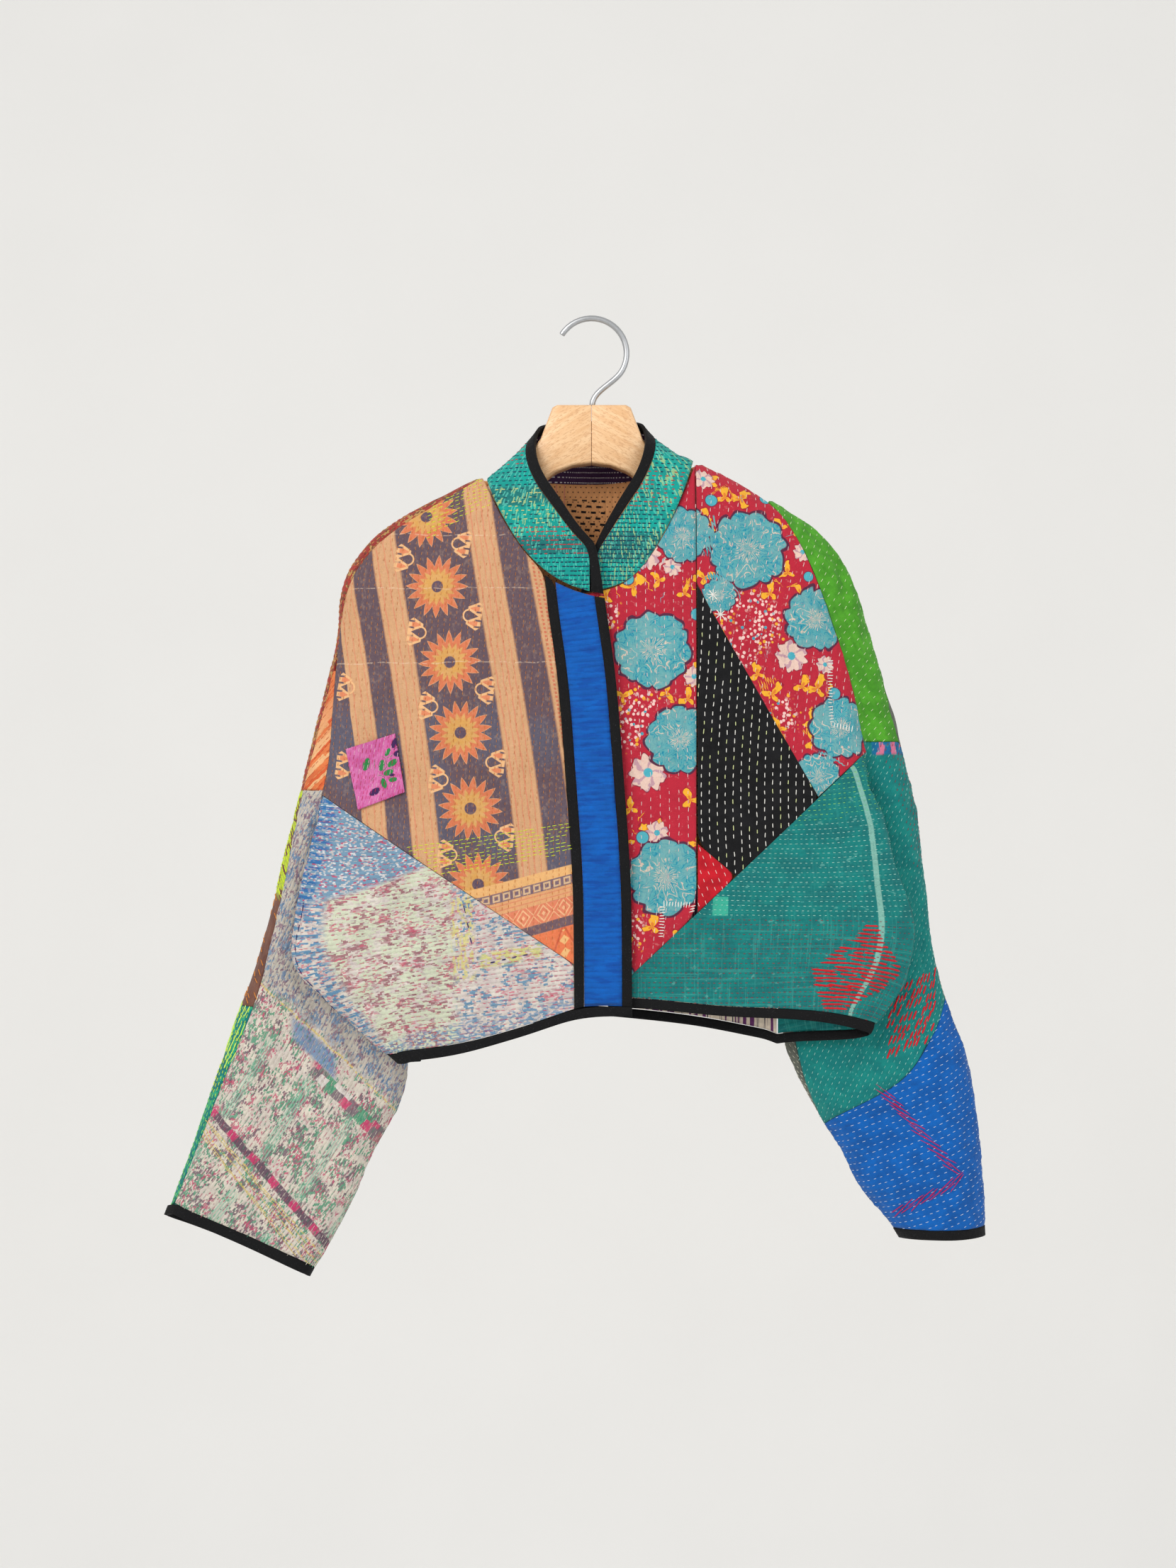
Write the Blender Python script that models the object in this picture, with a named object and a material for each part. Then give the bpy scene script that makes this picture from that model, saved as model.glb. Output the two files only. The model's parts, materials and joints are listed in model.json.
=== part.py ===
"""Kantha jacket hanging on a wooden hanger.

A short, boxy quilted jacket with wide dropped sleeves, a stand collar, a lapped front with a
placket, and a black binding on every edge. Lengths are millimetres until a mesh is made.
X runs across (the wearer's left is +X), Y runs back (the front faces -Y) and Z runs up. The
origin is the inside top of the hook, where a peg carries it.

Every wall is a sheet worked out from horizontal sections. A section is a smooth curve from the
front edge, round the outline, to the middle of the back. Low down the front folds back under
itself at the wing, and the sleeve starts from that tuck, behind the body.
"""

import math

import bmesh
import bpy
import numpy as np

MM = 0.001
COLLECTION = "kantha_jacket"

# Walls and edges of the cloth
CLOTH = 2.4
BINDING = 3.0
BINDING_WIDTH = 8.0
PLACKET_WIDTH = 48.0
UNDERLAP = 20.0
SEAM_GAP = 0.3
# Half the length over which a curve's direction is measured
NORMAL_STEP = 1.2
FALL_STEP = 3.0
# Room between a panel and a thicker binding
BINDING_GAP = 0.6
# Room between the end of the tuck and the sleeve seam
TUCK_GAP = 0.9
# Gap between the collar's foot and the neck seam, by share of the way from front end to back
COLLAR_FOOT = ((0.0, 1.4), (0.05, 1.3), (0.42, 1.3), (0.56, 2.2), (0.78, 2.2), (0.9, 0.6),
               (1.0, 0.6))
PLACKET_DROP = 2.2
COLLAR_BINDING = 9.0
PATCH_WALL = 1.0

# Where the body section parts into a body and a sleeve
UNDERARM = {-1: -566.0, 1: -556.0}
UNDERARM_ROOM = {-1: 0.5, 1: 0.5}
UNDERARM_REACH = 22.0
# Below this height the armhole seam lies in a fold of its own
FOLD_START = {-1: -388.0, 1: -215.0}
FOLD_RADIUS = {-1: 5.0, 1: 8.0}
# How far past the bottom of the tuck its seam lies, in marks of the curve
TUCK_TURN = 1.2
# Width of the neck at the shoulder seam
NECK_POINT = {-1: (91.0, -132.0), 1: (87.0, -120.0)}
# The side seam under the arm, never nearer to the wing fold than SIDE_SEAM_INSET
SIDE_SEAM = {-1: 155.0, 1: 156.0}
SIDE_SEAM_INSET = 19.0

OUTLINE_COLUMNS = ("height", "edge", "depth", "nose", "half", "seam")
# Outline of each side: outward distance of the outer fold, its depth, the length and half
# thickness of its nose, and how far in front of the fold the sleeve's top seam lies.
OUTLINE = {
    -1: (
        (-132.0, 91.0, 0.0, 20.0, 13.0, 0.0),
        (-151.5, 134.0, 0.0, 22.0, 13.0, 0.0),
        (-189.0, 191.0, 0.0, 18.0, 13.0, 0.0),
        (-220.5, 208.5, 0.0, 12.0, 13.0, 3.0),
        (-278.0, 217.0, 2.0, 11.0, 14.0, 4.0),
        (-335.0, 231.0, 4.0, 11.0, 15.0, 4.0),
        (-397.0, 246.0, 7.0, 11.0, 16.0, 3.0),
        (-462.0, 263.0, 10.0, 12.0, 17.0, 7.0),
        (-536.0, 283.0, 14.0, 14.0, 18.0, 10.0),
        (-582.0, 300.0, 17.0, 14.0, 18.0, 14.0),
        (-645.0, 323.0, 20.0, 14.0, 17.0, 11.0),
        (-697.0, 340.5, 22.0, 14.0, 16.0, 8.0),
        (-737.0, 355.0, 24.0, 13.0, 14.0, 6.0),
        (-757.0, 363.0, 25.0, 12.0, 12.0, 6.0),
        (-815.0, 384.0, 27.0, 12.0, 12.0, 6.0),
    ),
    1: (
        (-120.0, 87.0, 0.0, 20.0, 13.0, 0.0),
        (-151.5, 150.0, 0.0, 24.0, 13.0, -3.0),
        (-172.0, 184.5, 0.0, 22.0, 13.0, -3.0),
        (-209.0, 216.0, 0.0, 14.0, 14.0, -3.0),
        (-255.0, 231.0, 1.0, 12.0, 15.0, -3.0),
        (-301.0, 245.0, 3.0, 12.0, 16.0, 0.0),
        (-343.0, 259.0, 5.0, 12.0, 17.0, 5.0),
        (-370.0, 265.0, 7.0, 13.0, 18.0, 0.0),
        (-415.5, 276.0, 9.0, 14.0, 19.0, -4.0),
        (-462.0, 282.0, 11.0, 14.0, 20.0, -4.0),
        (-519.0, 288.0, 14.0, 14.0, 21.0, -3.0),
        (-559.0, 297.0, 16.0, 15.0, 22.0, 3.0),
        (-605.0, 314.0, 18.0, 18.0, 24.0, 3.0),
        (-657.0, 328.0, 20.0, 22.0, 27.0, -3.0),
        (-708.0, 334.0, 22.0, 24.0, 29.0, -3.0),
        (-771.0, 337.0, 24.0, 26.0, 30.0, -3.0),
        (-800.0, 338.0, 24.0, 26.0, 30.0, -3.0),
    ),
}

WING_COLUMNS = ("height", "seam", "overlap", "front", "step", "back")
# Armhole seam, which lower down is the wing fold: outward distance, how far the tuck runs back
# in, depth of the front cloth there, the step back to the sleeve, and depth of the back cloth.
WING = {
    -1: (
        (-132.0, 90.0, 0.0, -13.0, 0.0, 14.0),
        (-135.0, 93.4, 0.0, -13.0, 0.0, 14.0),
        (-151.5, 122.5, 0.0, -13.0, 0.0, 14.0),
        (-170.0, 152.0, 0.0, -13.0, 0.0, 14.0),
        (-183.5, 173.0, 0.0, -13.0, 0.0, 14.0),
        (-197.0, 188.0, 0.0, -13.0, 0.0, 15.0),
        (-222.0, 203.0, 0.0, -12.0, 0.0, 15.0),
        (-250.0, 209.7, 0.0, -12.0, 0.0, 16.0),
        (-314.0, 216.3, 0.0, -13.0, 0.0, 18.0),
        (-377.0, 221.0, 0.0, -14.0, 2.0, 21.0),
        (-401.0, 226.0, 0.0, -16.0, 6.0, 21.0),
        (-425.0, 232.0, 8.0, -18.0, 11.0, 20.0),
        (-460.0, 240.0, 30.0, -22.0, 18.0, 18.0),
        (-496.0, 247.5, 58.0, -27.0, 24.0, 12.0),
        (-541.5, 257.0, 90.0, -31.0, 28.0, 5.0),
        (-561.0, 237.0, 78.0, -31.0, 26.0, 0.0),
        (-567.0, 230.0, 73.0, -31.0, 25.3, 0.0),
        (-573.0, 223.0, 67.0, -31.0, 24.7, -10.0),
        (-580.0, 216.0, 60.0, -31.0, 24.0, -10.0),
        (-599.0, 196.5, 40.0, -30.0, 22.0, -10.0),
        (-619.0, 169.5, 20.0, -29.0, 20.0, -9.0),
        (-640.0, 150.0, 20.0, -29.0, 20.0, -9.0),
    ),
    1: (
        (-149.7, 147.0, 0.0, -13.0, 0.0, 14.0),
        (-178.5, 169.0, 0.0, -14.0, 0.0, 15.0),
        (-222.0, 190.0, 0.0, -17.0, 3.0, 16.0),
        (-272.7, 208.0, 0.0, -20.0, 7.0, 18.0),
        (-309.0, 217.5, 0.0, -22.0, 10.0, 20.0),
        (-365.0, 229.0, 3.0, -26.0, 15.0, 21.0),
        (-412.5, 242.7, 26.0, -31.0, 21.0, 19.0),
        (-450.0, 253.5, 50.0, -33.0, 24.0, 16.0),
        (-488.0, 263.7, 76.0, -34.0, 27.0, 10.0),
        (-514.0, 271.5, 98.0, -34.0, 27.0, 4.0),
        (-532.5, 269.0, 104.0, -34.0, 27.0, -1.0),
        (-557.0, 262.0, 102.5, -33.2, 26.2, -2.0),
        (-563.0, 259.0, 100.5, -33.0, 26.0, -9.5),
        (-583.0, 247.0, 80.0, -32.0, 24.0, -10.0),
        (-592.0, 241.0, 60.0, -31.0, 22.0, -9.0),
        (-630.0, 225.0, 60.0, -31.0, 22.0, -9.0),
    ),
}

INNER_COLUMNS = ("height", "edge", "depth", "half", "seam")
# Inner edge of each sleeve below the underarm, its depth and half thickness, and how far in
# front of it the underarm seam lies.
INNER = {
    -1: (
        (-560.0, 161.0, -2.0, 4.5, 2.0),
        (-574.0, 160.0, -1.0, 5.0, 2.0),
        (-600.0, 157.0, 6.0, 6.5, 1.0),
        (-627.0, 157.0, 10.0, 8.0, 0.0),
        (-671.0, 166.5, 15.0, 9.0, 0.0),
        (-702.0, 187.5, 18.0, 9.0, 0.0),
        (-734.0, 199.0, 20.0, 8.0, 0.0),
        (-765.0, 214.5, 22.0, 8.0, 0.0),
        (-811.0, 242.0, 24.0, 8.0, 0.0),
    ),
    1: (
        (-550.0, 162.0, -3.0, 5.0, 2.5),
        (-564.0, 162.0, -1.0, 6.0, 2.5),
        (-604.0, 161.0, 8.0, 10.0, 16.0),
        (-637.5, 173.0, 13.0, 14.0, 13.0),
        (-666.0, 189.0, 17.0, 17.0, 5.0),
        (-700.5, 213.0, 20.0, 19.0, 2.0),
        (-733.0, 229.0, 22.0, 20.0, 2.0),
        (-756.0, 248.0, 23.0, 20.0, 2.0),
        (-777.0, 263.0, 24.0, 20.0, 2.0),
        (-800.0, 272.0, 24.0, 20.0, 2.0),
    ),
}

FRONT_COLUMNS = ("height", "edge", "first", "second", "third")
# The lapped front edge, and the depth of the front at it, a third of the way out and farther.
FRONT = (
    (-120.0, 5.0, -26.0, -20.0, -13.0),
    (-140.0, 5.0, -32.0, -27.0, -17.0),
    (-161.0, 6.0, -38.0, -31.0, -19.0),
    (-193.0, 8.0, -44.0, -34.0, -20.0),
    (-229.0, 10.0, -47.0, -39.0, -25.0),
    (-295.0, 19.0, -47.0, -42.0, -31.0),
    (-391.0, 27.0, -46.0, -43.0, -37.0),
    (-478.0, 32.7, -46.0, -44.0, -40.0),
    (-575.0, 33.6, -45.0, -42.0, -38.0),
    (-640.0, 34.0, -45.0, -42.0, -37.0),
)

BACK_COLUMNS = ("height", "middle", "half")
# Depth of the back at its middle and half way out.
BACK = (
    (-120.0, 27.0, 20.0),
    (-189.0, 26.0, 22.0),
    (-278.0, 27.0, 24.0),
    (-400.0, 28.0, 27.0),
    (-500.0, 26.0, 24.0),
    (-560.0, 21.0, 12.0),
    (-600.0, 17.0, 6.0),
    (-640.0, 15.0, 4.0),
)

NECK_COLUMNS = ("out", "height")
# Front neck seam of each side, from the middle to the shoulder.
NECK = {
    -1: ((-10.0, -235.0), (15.0, -229.0), (34.0, -219.0), (60.0, -193.0), (79.0, -161.0),
         (91.0, -135.0)),
    1: ((-10.0, -234.0), (12.0, -230.0), (34.5, -221.0), (61.5, -182.0), (78.0, -148.0),
        (87.0, -123.0)),
}
BACK_NECK_MIDDLE = -135.0
NECK_DROP = 3.0

COLLAR_COLUMNS = ("out", "depth", "height")
# Middle of the binding on the collar's top edge, from the front end to the middle of the back.
COLLAR_TOP = {
    -1: ((-5.0, -47.0, -198.0), (11.0, -45.0, -182.0), (28.5, -39.0, -157.5),
         (46.0, -26.0, -130.5), (51.5, -15.5, -111.0), (48.5, 1.0, -96.0),
         (42.0, 15.5, -90.0), (25.0, 21.0, -87.0), (0.0, 24.0, -86.0)),
    1: ((0.0, -38.0, -202.0), (12.0, -37.0, -180.0), (27.0, -33.0, -155.0),
        (42.0, -24.0, -130.5), (49.5, -15.0, -106.0), (48.0, 1.0, -94.0),
        (42.0, 15.5, -88.0), (25.0, 21.0, -86.0), (0.0, 24.0, -86.0)),
}

# Hem: lower edge of the binding along the front and the back, by distance across
FRONT_HEM = {-1: ((-40.0, -585.0), (0.0, -584.0), (56.0, -601.0), (113.0, -617.0),
                  (169.5, -625.0)),
             1: ((0.0, -577.0), (37.5, -578.0), (114.0, -585.0), (178.0, -588.0),
                 (240.0, -597.0))}
BACK_HEM = {-1: ((0.0, -588.0), (80.0, -600.0), (155.0, -622.0)),
            1: ((0.0, -588.0), (93.0, -597.0), (156.0, -608.0))}
CORNER_HEM = {-1: -625.0, 1: -610.0}

# Seams of the patchwork: (distance across, height) at both ends, or (share across, height)
LOWER_SEAM = {-1: ((0.0, -551.0), (226.0, -401.0)), 1: ((38.0, -546.0), (229.0, -365.0))}
INSET_TOP = (88.0, -226.0)
INSET_RIGHT = (189.0, -403.5)
INSET_LOW = (120.0, -468.0)
# Column of the panel beside the inset, which ends at the inset's right corner
TIP_HEIGHTS = (-403.5, -375.0)
TIP_SHARES = (0.5653, 0.64)
INSET_LEFT = (88.0, -441.0)
SLEEVE_TOP = {-1: -135.0, 1: -153.0}
SLEEVE_SEAM = {-1: -397.0, 1: -356.0}
CAP_TOP = -296.0
# Heights that rows of neighbouring pieces share, with the number of rows down to each
ROW_STOPS = {
    -1: ((-135.0, 0), (-187.0, 3), (-296.0, 6), (-397.0, 5), (-401.0, 1), (-566.0, 8),
         (-574.0, 1), (-616.7, 2)),
    1: ((-123.0, 0), (-153.0, 2), (-356.0, 10), (-365.0, 1), (-556.0, 10), (-564.0, 1),
        (-601.7, 2)),
}
KNEE = {-1: -580.0, 1: -564.0}
KNEE_ROWS = 5
JOIN_ROWS = 9
LOWER_SLEEVE_SEAM = ((0.0, -680.0), (0.27, -661.0), (0.5, -642.0), (0.7, -619.0),
                     (0.87, -592.0), (1.0, -574.0))
CUFF = {-1: ((0.0, -812.0), (1.0, -757.0)), 1: ((0.0, -778.0), (1.0, -776.0))}
PATCH_CORNERS = ((-205.0, -362.5), (-163.5, -349.5), (-155.0, -398.5), (-194.5, -413.5))

# Wooden hanger: a section at each distance from the middle
HANGER_COLUMNS = ("out", "top", "bottom", "half", "chamfer")
HANGER = (
    (0.15, -72.0, -121.0, 12.0, 1.5),
    (16.0, -72.0, -123.0, 12.0, 1.5),
    (29.0, -72.0, -128.0, 12.0, 1.5),
    (33.0, -74.0, -130.5, 11.5, 2.5),
    (43.0, -100.0, -139.0, 9.0, 2.5),
    (62.0, -124.0, -147.0, 8.5, 3.0),
    (91.0, -142.0, -163.0, 8.5, 3.0),
    (130.0, -160.5, -181.0, 9.0, 3.0),
    (165.0, -182.0, -199.0, 9.0, 3.0),
    (183.0, -197.0, -208.0, 7.5, 3.0),
)
HOOK_WIRE = 2.6
HOOK_BEND = 29.7
HOOK_TIP_ANGLE = 148.0
HOOK_END_ANGLE = -28.0
HOOK_FOOT = (0.5, -71.5)

COLOURS = {
    "sun_cotton": (0.34, 0.2, 0.14), "pale_cotton": (0.5, 0.44, 0.42),
    "red_cotton": (0.42, 0.03, 0.05), "black_cotton": (0.012, 0.012, 0.014),
    "teal_cotton": (0.01, 0.16, 0.16), "green_cotton": (0.08, 0.27, 0.03),
    "blue_cotton": (0.0, 0.09, 0.48), "rust_cotton": (0.4, 0.1, 0.03),
    "brown_cotton": (0.16, 0.07, 0.05), "olive_cotton": (0.16, 0.16, 0.13),
    "tan_cotton": (0.36, 0.17, 0.07), "pink_cotton": (0.6, 0.12, 0.34),
    "binding_cotton": (0.008, 0.008, 0.009), "collar_cotton": (0.02, 0.25, 0.22),
    "beech": (0.62, 0.38, 0.2), "satin_steel": (0.6, 0.6, 0.6),
}
METALS = ("satin_steel",)


def clear_scene():
    """Start from an empty scene."""
    for found in list(bpy.data.objects):
        bpy.data.objects.remove(found, do_unlink=True)


def smooth_value(where, places, values):
    """Read a table smoothly: a cubic through the rows, with slopes from their neighbours."""
    order = np.argsort(places)
    xs = np.asarray(places, float)[order]
    ys = np.asarray(values, float)[order]
    where = min(max(where, xs[0]), xs[-1])
    row = min(max(int(np.searchsorted(xs, where)) - 1, 0), len(xs) - 2)
    slopes = np.gradient(ys, xs)
    width = xs[row + 1] - xs[row]
    share = (where - xs[row]) / width
    rise = ys[row + 1] - ys[row]
    steep = rise / width
    first, last = slopes[row], slopes[row + 1]
    first = 0.0 if first * steep <= 0 else math.copysign(min(abs(first), 3 * abs(steep)), steep)
    last = 0.0 if last * steep <= 0 else math.copysign(min(abs(last), 3 * abs(steep)), steep)
    cubic = first + last - 2 * steep
    square = 3 * steep - 2 * first - last
    return ys[row] + width * share * (first + share * (square + share * cubic))


def read_row(table, columns, height):
    """One row of a table at any height, as a dictionary of its named columns."""
    data = np.array(table)
    return {name: smooth_value(height, data[:, 0], data[:, place])
            for place, name in enumerate(columns) if place}


def line_value(points, where):
    """Height of a seam or hem, given as (distance, height) points, at a distance."""
    data = np.array(points)
    return smooth_value(where, data[:, 0], data[:, 1])


class Curve:
    """A smooth planar curve through control points, read by its length."""

    STEPS = 10

    def __init__(self, controls, before=None, after=None):
        points = np.array(controls, float)
        before = 2 * points[0] - points[1] if before is None else np.array(before, float)
        after = 2 * points[-1] - points[-2] if after is None else np.array(after, float)
        run = np.vstack([before, points, after])
        gaps = np.sqrt(np.linalg.norm(np.diff(run, axis=0), axis=1)) + 1e-6
        knots = np.concatenate([[0.0], np.cumsum(gaps)])
        drawn = [points[0]]
        self.marks = [0]
        self.closed = np.allclose(points[0], points[-1])
        for place in range(1, len(run) - 2):
            drawn += self.piece(run[place - 1:place + 3], knots[place - 1:place + 3])
            self.marks.append(len(drawn) - 1)
        self.points = np.array(drawn)
        self.length = np.concatenate(
            [[0.0], np.cumsum(np.linalg.norm(np.diff(self.points, axis=0), axis=1))])

    def piece(self, run, knots):
        """The cubic between the two middle points of four."""
        width = knots[2] - knots[1]
        tangents = []
        for k in (1, 2):
            left = (run[k] - run[k - 1]) / (knots[k] - knots[k - 1])
            right = (run[k + 1] - run[k]) / (knots[k + 1] - knots[k])
            wide = (run[k + 1] - run[k - 1]) / (knots[k + 1] - knots[k - 1])
            tangents.append((left - wide + right) * width)
        drawn = []
        for step in range(1, self.STEPS + 1):
            u = step / self.STEPS
            drawn.append((2 * u**3 - 3 * u**2 + 1) * run[1] + (u**3 - 2 * u**2 + u) * tangents[0]
                         + (3 * u**2 - 2 * u**3) * run[2] + (u**3 - u**2) * tangents[1])
        return drawn

    def mark(self, place):
        """Length at a control point; a broken number lies between two of them."""
        return float(np.interp(place, range(len(self.marks)), self.length[self.marks]))

    def at(self, length):
        """Point at a length."""
        return np.array([np.interp(length, self.length, self.points[:, axis])
                         for axis in (0, 1)])

    def length_at(self, out, first, last):
        """Length where a stretch between two control points reaches a distance across."""
        low, high = self.marks[int(first)], self.marks[int(last)]
        outs = self.points[low:high + 1, 0]
        lengths = self.length[low:high + 1]
        if outs[0] > outs[-1]:
            outs, lengths = outs[::-1], lengths[::-1]
        keep = np.maximum.accumulate(outs)
        return float(np.interp(out, keep, lengths))


class Section:
    """The cloth of one side at one height: the body's curve and the sleeve's ring."""

    def __init__(self, side, height):
        self.side = side
        self.height = height
        self.edge = read_row(OUTLINE[side], OUTLINE_COLUMNS, height)
        self.wing = read_row(WING[side], WING_COLUMNS, height)
        self.front = read_row(FRONT, FRONT_COLUMNS, height)
        self.back = read_row(BACK, BACK_COLUMNS, height)
        self.shoulder = height > WING[side][0][0]
        if self.shoulder:
            self.wing["seam"] = self.edge["edge"]
        self.folded = height < FOLD_START[side]
        self.parted = height < UNDERARM[side]
        self.build_body()
        if self.parted:
            self.build_sleeve()

    def front_run(self):
        """Controls of the front, up to the armhole seam or the wing fold."""
        start = side_front_edge(self.side, self.front["edge"])
        lap = 0.0 if self.side < 0 else 6.5
        reach = self.wing["seam"] - start
        return [(start, self.front["first"] + lap),
                (start + 0.35 * reach, self.front["second"] + 0.2 * lap),
                (start + 0.68 * reach, self.front["third"])]

    def nose(self, room):
        """The outer fold: before it, at it and behind it."""
        out, depth, half = self.edge["edge"], self.edge["depth"], self.edge["half"]
        length = min(self.edge["nose"], room)
        return [(out - length, depth - half), (out, depth), (out - length, depth + half)]

    def back_run(self, out, depth):
        """Controls of the back, from a distance across to the middle."""
        return [(out, depth), (0.5 * out, self.back["half"]), (0.0, self.back["middle"])]

    def build_body(self):
        """The body's curve, and the marks that the seams use."""
        controls = self.front_run()
        seam, overlap = self.wing["seam"], self.wing["overlap"]
        front, step = self.wing["front"], self.wing["step"]
        radius = FOLD_RADIUS[self.side]
        turn = min(overlap / 20.0, 1.0)
        self.fold_mark = 3
        if self.parted:
            side_seam = min(SIDE_SEAM[self.side], seam - SIDE_SEAM_INSET)
            rear = self.wing["back"]
            controls += [(seam - 1.6 * radius, front), (seam, front + 6.0),
                         (seam - 1.6 * radius, front + 0.45 * (rear - front) + 3.0)]
            controls += self.back_run(side_seam, rear - 3.0)
            self.body_end = 6
            self.back_start = 6
        elif self.folded:
            tuck = seam - overlap
            start = seam + (1 - turn) * radius - turn * (overlap - radius)
            controls += [(seam - radius, front),
                         (seam - (1 - turn) * radius / 2, front + 0.25 * step),
                         (seam - turn * overlap / 2, front + 0.5 * step),
                         (tuck + (1 - turn) * radius / 2, front + 0.75 * step),
                         (start, front + step)]
            room = 0.5 * (self.edge["edge"] - start)
            nose = self.nose(room)
            middle = 0.5 * (start + nose[0][0])
            controls.append((middle, 0.5 * (front + step + nose[0][1]) - 1.0))
            controls += nose
            rear = tuck - 1.5
            controls.append((0.5 * (nose[2][0] + rear), 0.35 * self.wing["back"]
                             + 0.65 * nose[2][1]))
            controls += self.back_run(rear, self.wing["back"])
            self.body_end = 5 + TUCK_TURN * turn
            self.back_start = 13
        else:
            nose = self.nose(0.3 * self.edge["edge"])
            controls += nose
            controls += self.back_run(0.62 * nose[2][0], 0.5 * (nose[2][1] + self.back["half"]))[:1]
            controls.append((0.0, self.back["middle"]))
        mirrored = (-controls[-2][0], controls[-2][1])
        self.body = Curve(controls, after=mirrored)
        self.count = len(controls)

    def build_sleeve(self):
        """The sleeve's ring, from its inner edge over the front and round behind."""
        inner = read_row(INNER[self.side], INNER_COLUMNS, self.height)
        self.inner = inner
        out, depth, half = inner["edge"], inner["depth"], inner["half"]
        nose = self.nose(0.4 * (self.edge["edge"] - out))
        lead = min(0.9 * half, 0.2 * (self.edge["edge"] - out))
        front = (out + lead, depth - half)
        rear = (out + lead, depth + half)
        middle = 0.5 * (front[0] + nose[0][0])
        controls = [(out, depth), front, (middle, 0.5 * (front[1] + nose[0][1]) - 2.0)]
        controls += nose
        controls += [(middle, 0.5 * (rear[1] + nose[2][1]) + 1.5), rear, (out, depth)]
        self.sleeve = Curve(controls, before=rear, after=front)

    def apex(self):
        """Length of the body's curve at the outer fold."""
        return self.body.mark(self.apex_mark())

    def apex_mark(self):
        """Place of the outer fold among the body's controls."""
        return 10 if self.folded else 4

    def armhole(self):
        """Length at the front armhole seam, or the side seam under the arm."""
        if self.parted or self.folded:
            return self.body.mark(self.body_end)
        if self.shoulder:
            return self.apex()
        return self.body.length_at(self.wing["seam"], 2, 4)

    def back_armhole(self):
        """Length at the back armhole seam, or the side seam under the arm."""
        if self.parted or self.folded:
            return self.body.mark(self.back_start)
        if self.shoulder:
            return self.apex()
        return self.body.length_at(self.wing["seam"], 4, 6)

    def top_seam(self):
        """Length at the sleeve's top seam, on the curve that holds the sleeve."""
        curve = self.sleeve if self.parted else self.body
        apex = 4 if self.parted else self.apex_mark()
        inset = self.edge["seam"]
        reach = self.edge["edge"] - abs(inset)
        if inset < 0:
            return curve.length_at(reach, apex, apex + 1)
        return curve.length_at(reach, apex - 1, apex)

    def sleeve_span(self):
        """Curve, first, top-seam and last length of the sleeve's cloth."""
        if self.parted:
            end = self.sleeve.length[-1]
            return self.sleeve, self.inner["seam"], self.top_seam(), end + self.inner["seam"]
        return self.body, self.armhole(), self.top_seam(), self.back_armhole()


SECTIONS = {}


def section(side, height):
    """The section at a height, made once."""
    key = (side, round(height, 3))
    if key not in SECTIONS:
        SECTIONS[key] = Section(*key)
    return SECTIONS[key]


def side_front_edge(side, edge):
    """Outward distance of a front's edge: the right front laps over the left."""
    return -edge if side < 0 else edge - UNDERLAP


def curve_point(curve, length):
    """Point on a curve; past the end of a closed ring it starts again."""
    return curve.at(length % curve.length[-1] if curve.closed else length)


# A column of a sheet is a function of the section that gives a curve and a length on it.

def underarm_room(part):
    """Extra room at the seams close to the underarm point, where four pieces meet."""
    away = abs(part.height - UNDERARM[part.side]) / UNDERARM_REACH
    return UNDERARM_ROOM[part.side] * max(1.0 - away, 0.0)


def front_strip(length):
    """A column at a fixed length from the front edge."""
    return lambda part: (part.body, length)


def front_share(start, share):
    """A column between a fixed length from the front edge and the neck point's line."""
    def column(part):
        neck = part.body.length_at(NECK_POINT[part.side][0], 0, 4)
        return part.body, start + share * (neck - start)
    return column


def side_share(share):
    """A column between the neck point's line and the armhole seam."""
    def column(part):
        neck = part.body.length_at(NECK_POINT[part.side][0], 0, 4)
        return part.body, neck + share * (part.armhole() - SEAM_GAP / 2 - neck)
    return column


def wing_share(share):
    """A column between the neck point's line and the wing fold."""
    def column(part):
        neck = part.body.length_at(NECK_POINT[part.side][0], 0, 4)
        return part.body, neck + share * (part.body.mark(part.fold_mark) - neck)
    return column


def tuck_share(share):
    """A column from the wing fold into the tuck."""
    def column(part):
        start = part.body.mark(part.fold_mark)
        last = part.armhole() - TUCK_GAP - underarm_room(part)
        return part.body, start + share * (last - start)
    return column


def sleeve_front_share(share):
    """A column between the armhole or underarm seam and the sleeve's top seam."""
    def column(part):
        curve, first, top, last = part.sleeve_span()
        first += SEAM_GAP / 2 + underarm_room(part)
        return curve, first + share * (top - SEAM_GAP / 2 - first)
    return column


def sleeve_back_share(share):
    """A column from the sleeve's top seam round to the back armhole or underarm seam."""
    def column(part):
        curve, first, top, last = part.sleeve_span()
        if part.side < 0 and part.height > CAP_TOP:
            top = first
        top += SEAM_GAP / 2
        return curve, top + share * (last - SEAM_GAP / 2 - top)
    return column


def back_share(share):
    """A column of the back, from the armhole (0) to the neck point's line (1)."""
    def column(part):
        start = part.back_armhole() + SEAM_GAP
        neck = part.body.length_at(NECK_POINT[part.side][0], part.apex_mark() if not part.parted
                                   else part.back_start, part.count - 1)
        return part.body, start + share * (max(neck, start + 0.5) - start)
    return column


def back_middle_share(share):
    """A column of the back, from the neck point's line (0) to the middle (1)."""
    def column(part):
        start = part.body.length_at(NECK_POINT[part.side][0], part.apex_mark() if not part.parted
                                    else part.back_start, part.count - 1)
        return part.body, start + share * (part.body.length[-1] - start)
    return column


def column_point(side, column, height):
    """World point of a column at a height."""
    curve, length = column(section(side, height))
    out, depth = curve_point(curve, length)
    return np.array([side * out, depth, height])


def across_of(side, column, height):
    """Outward distance of a column at a height."""
    return side * column_point(side, column, height)[0]


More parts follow.
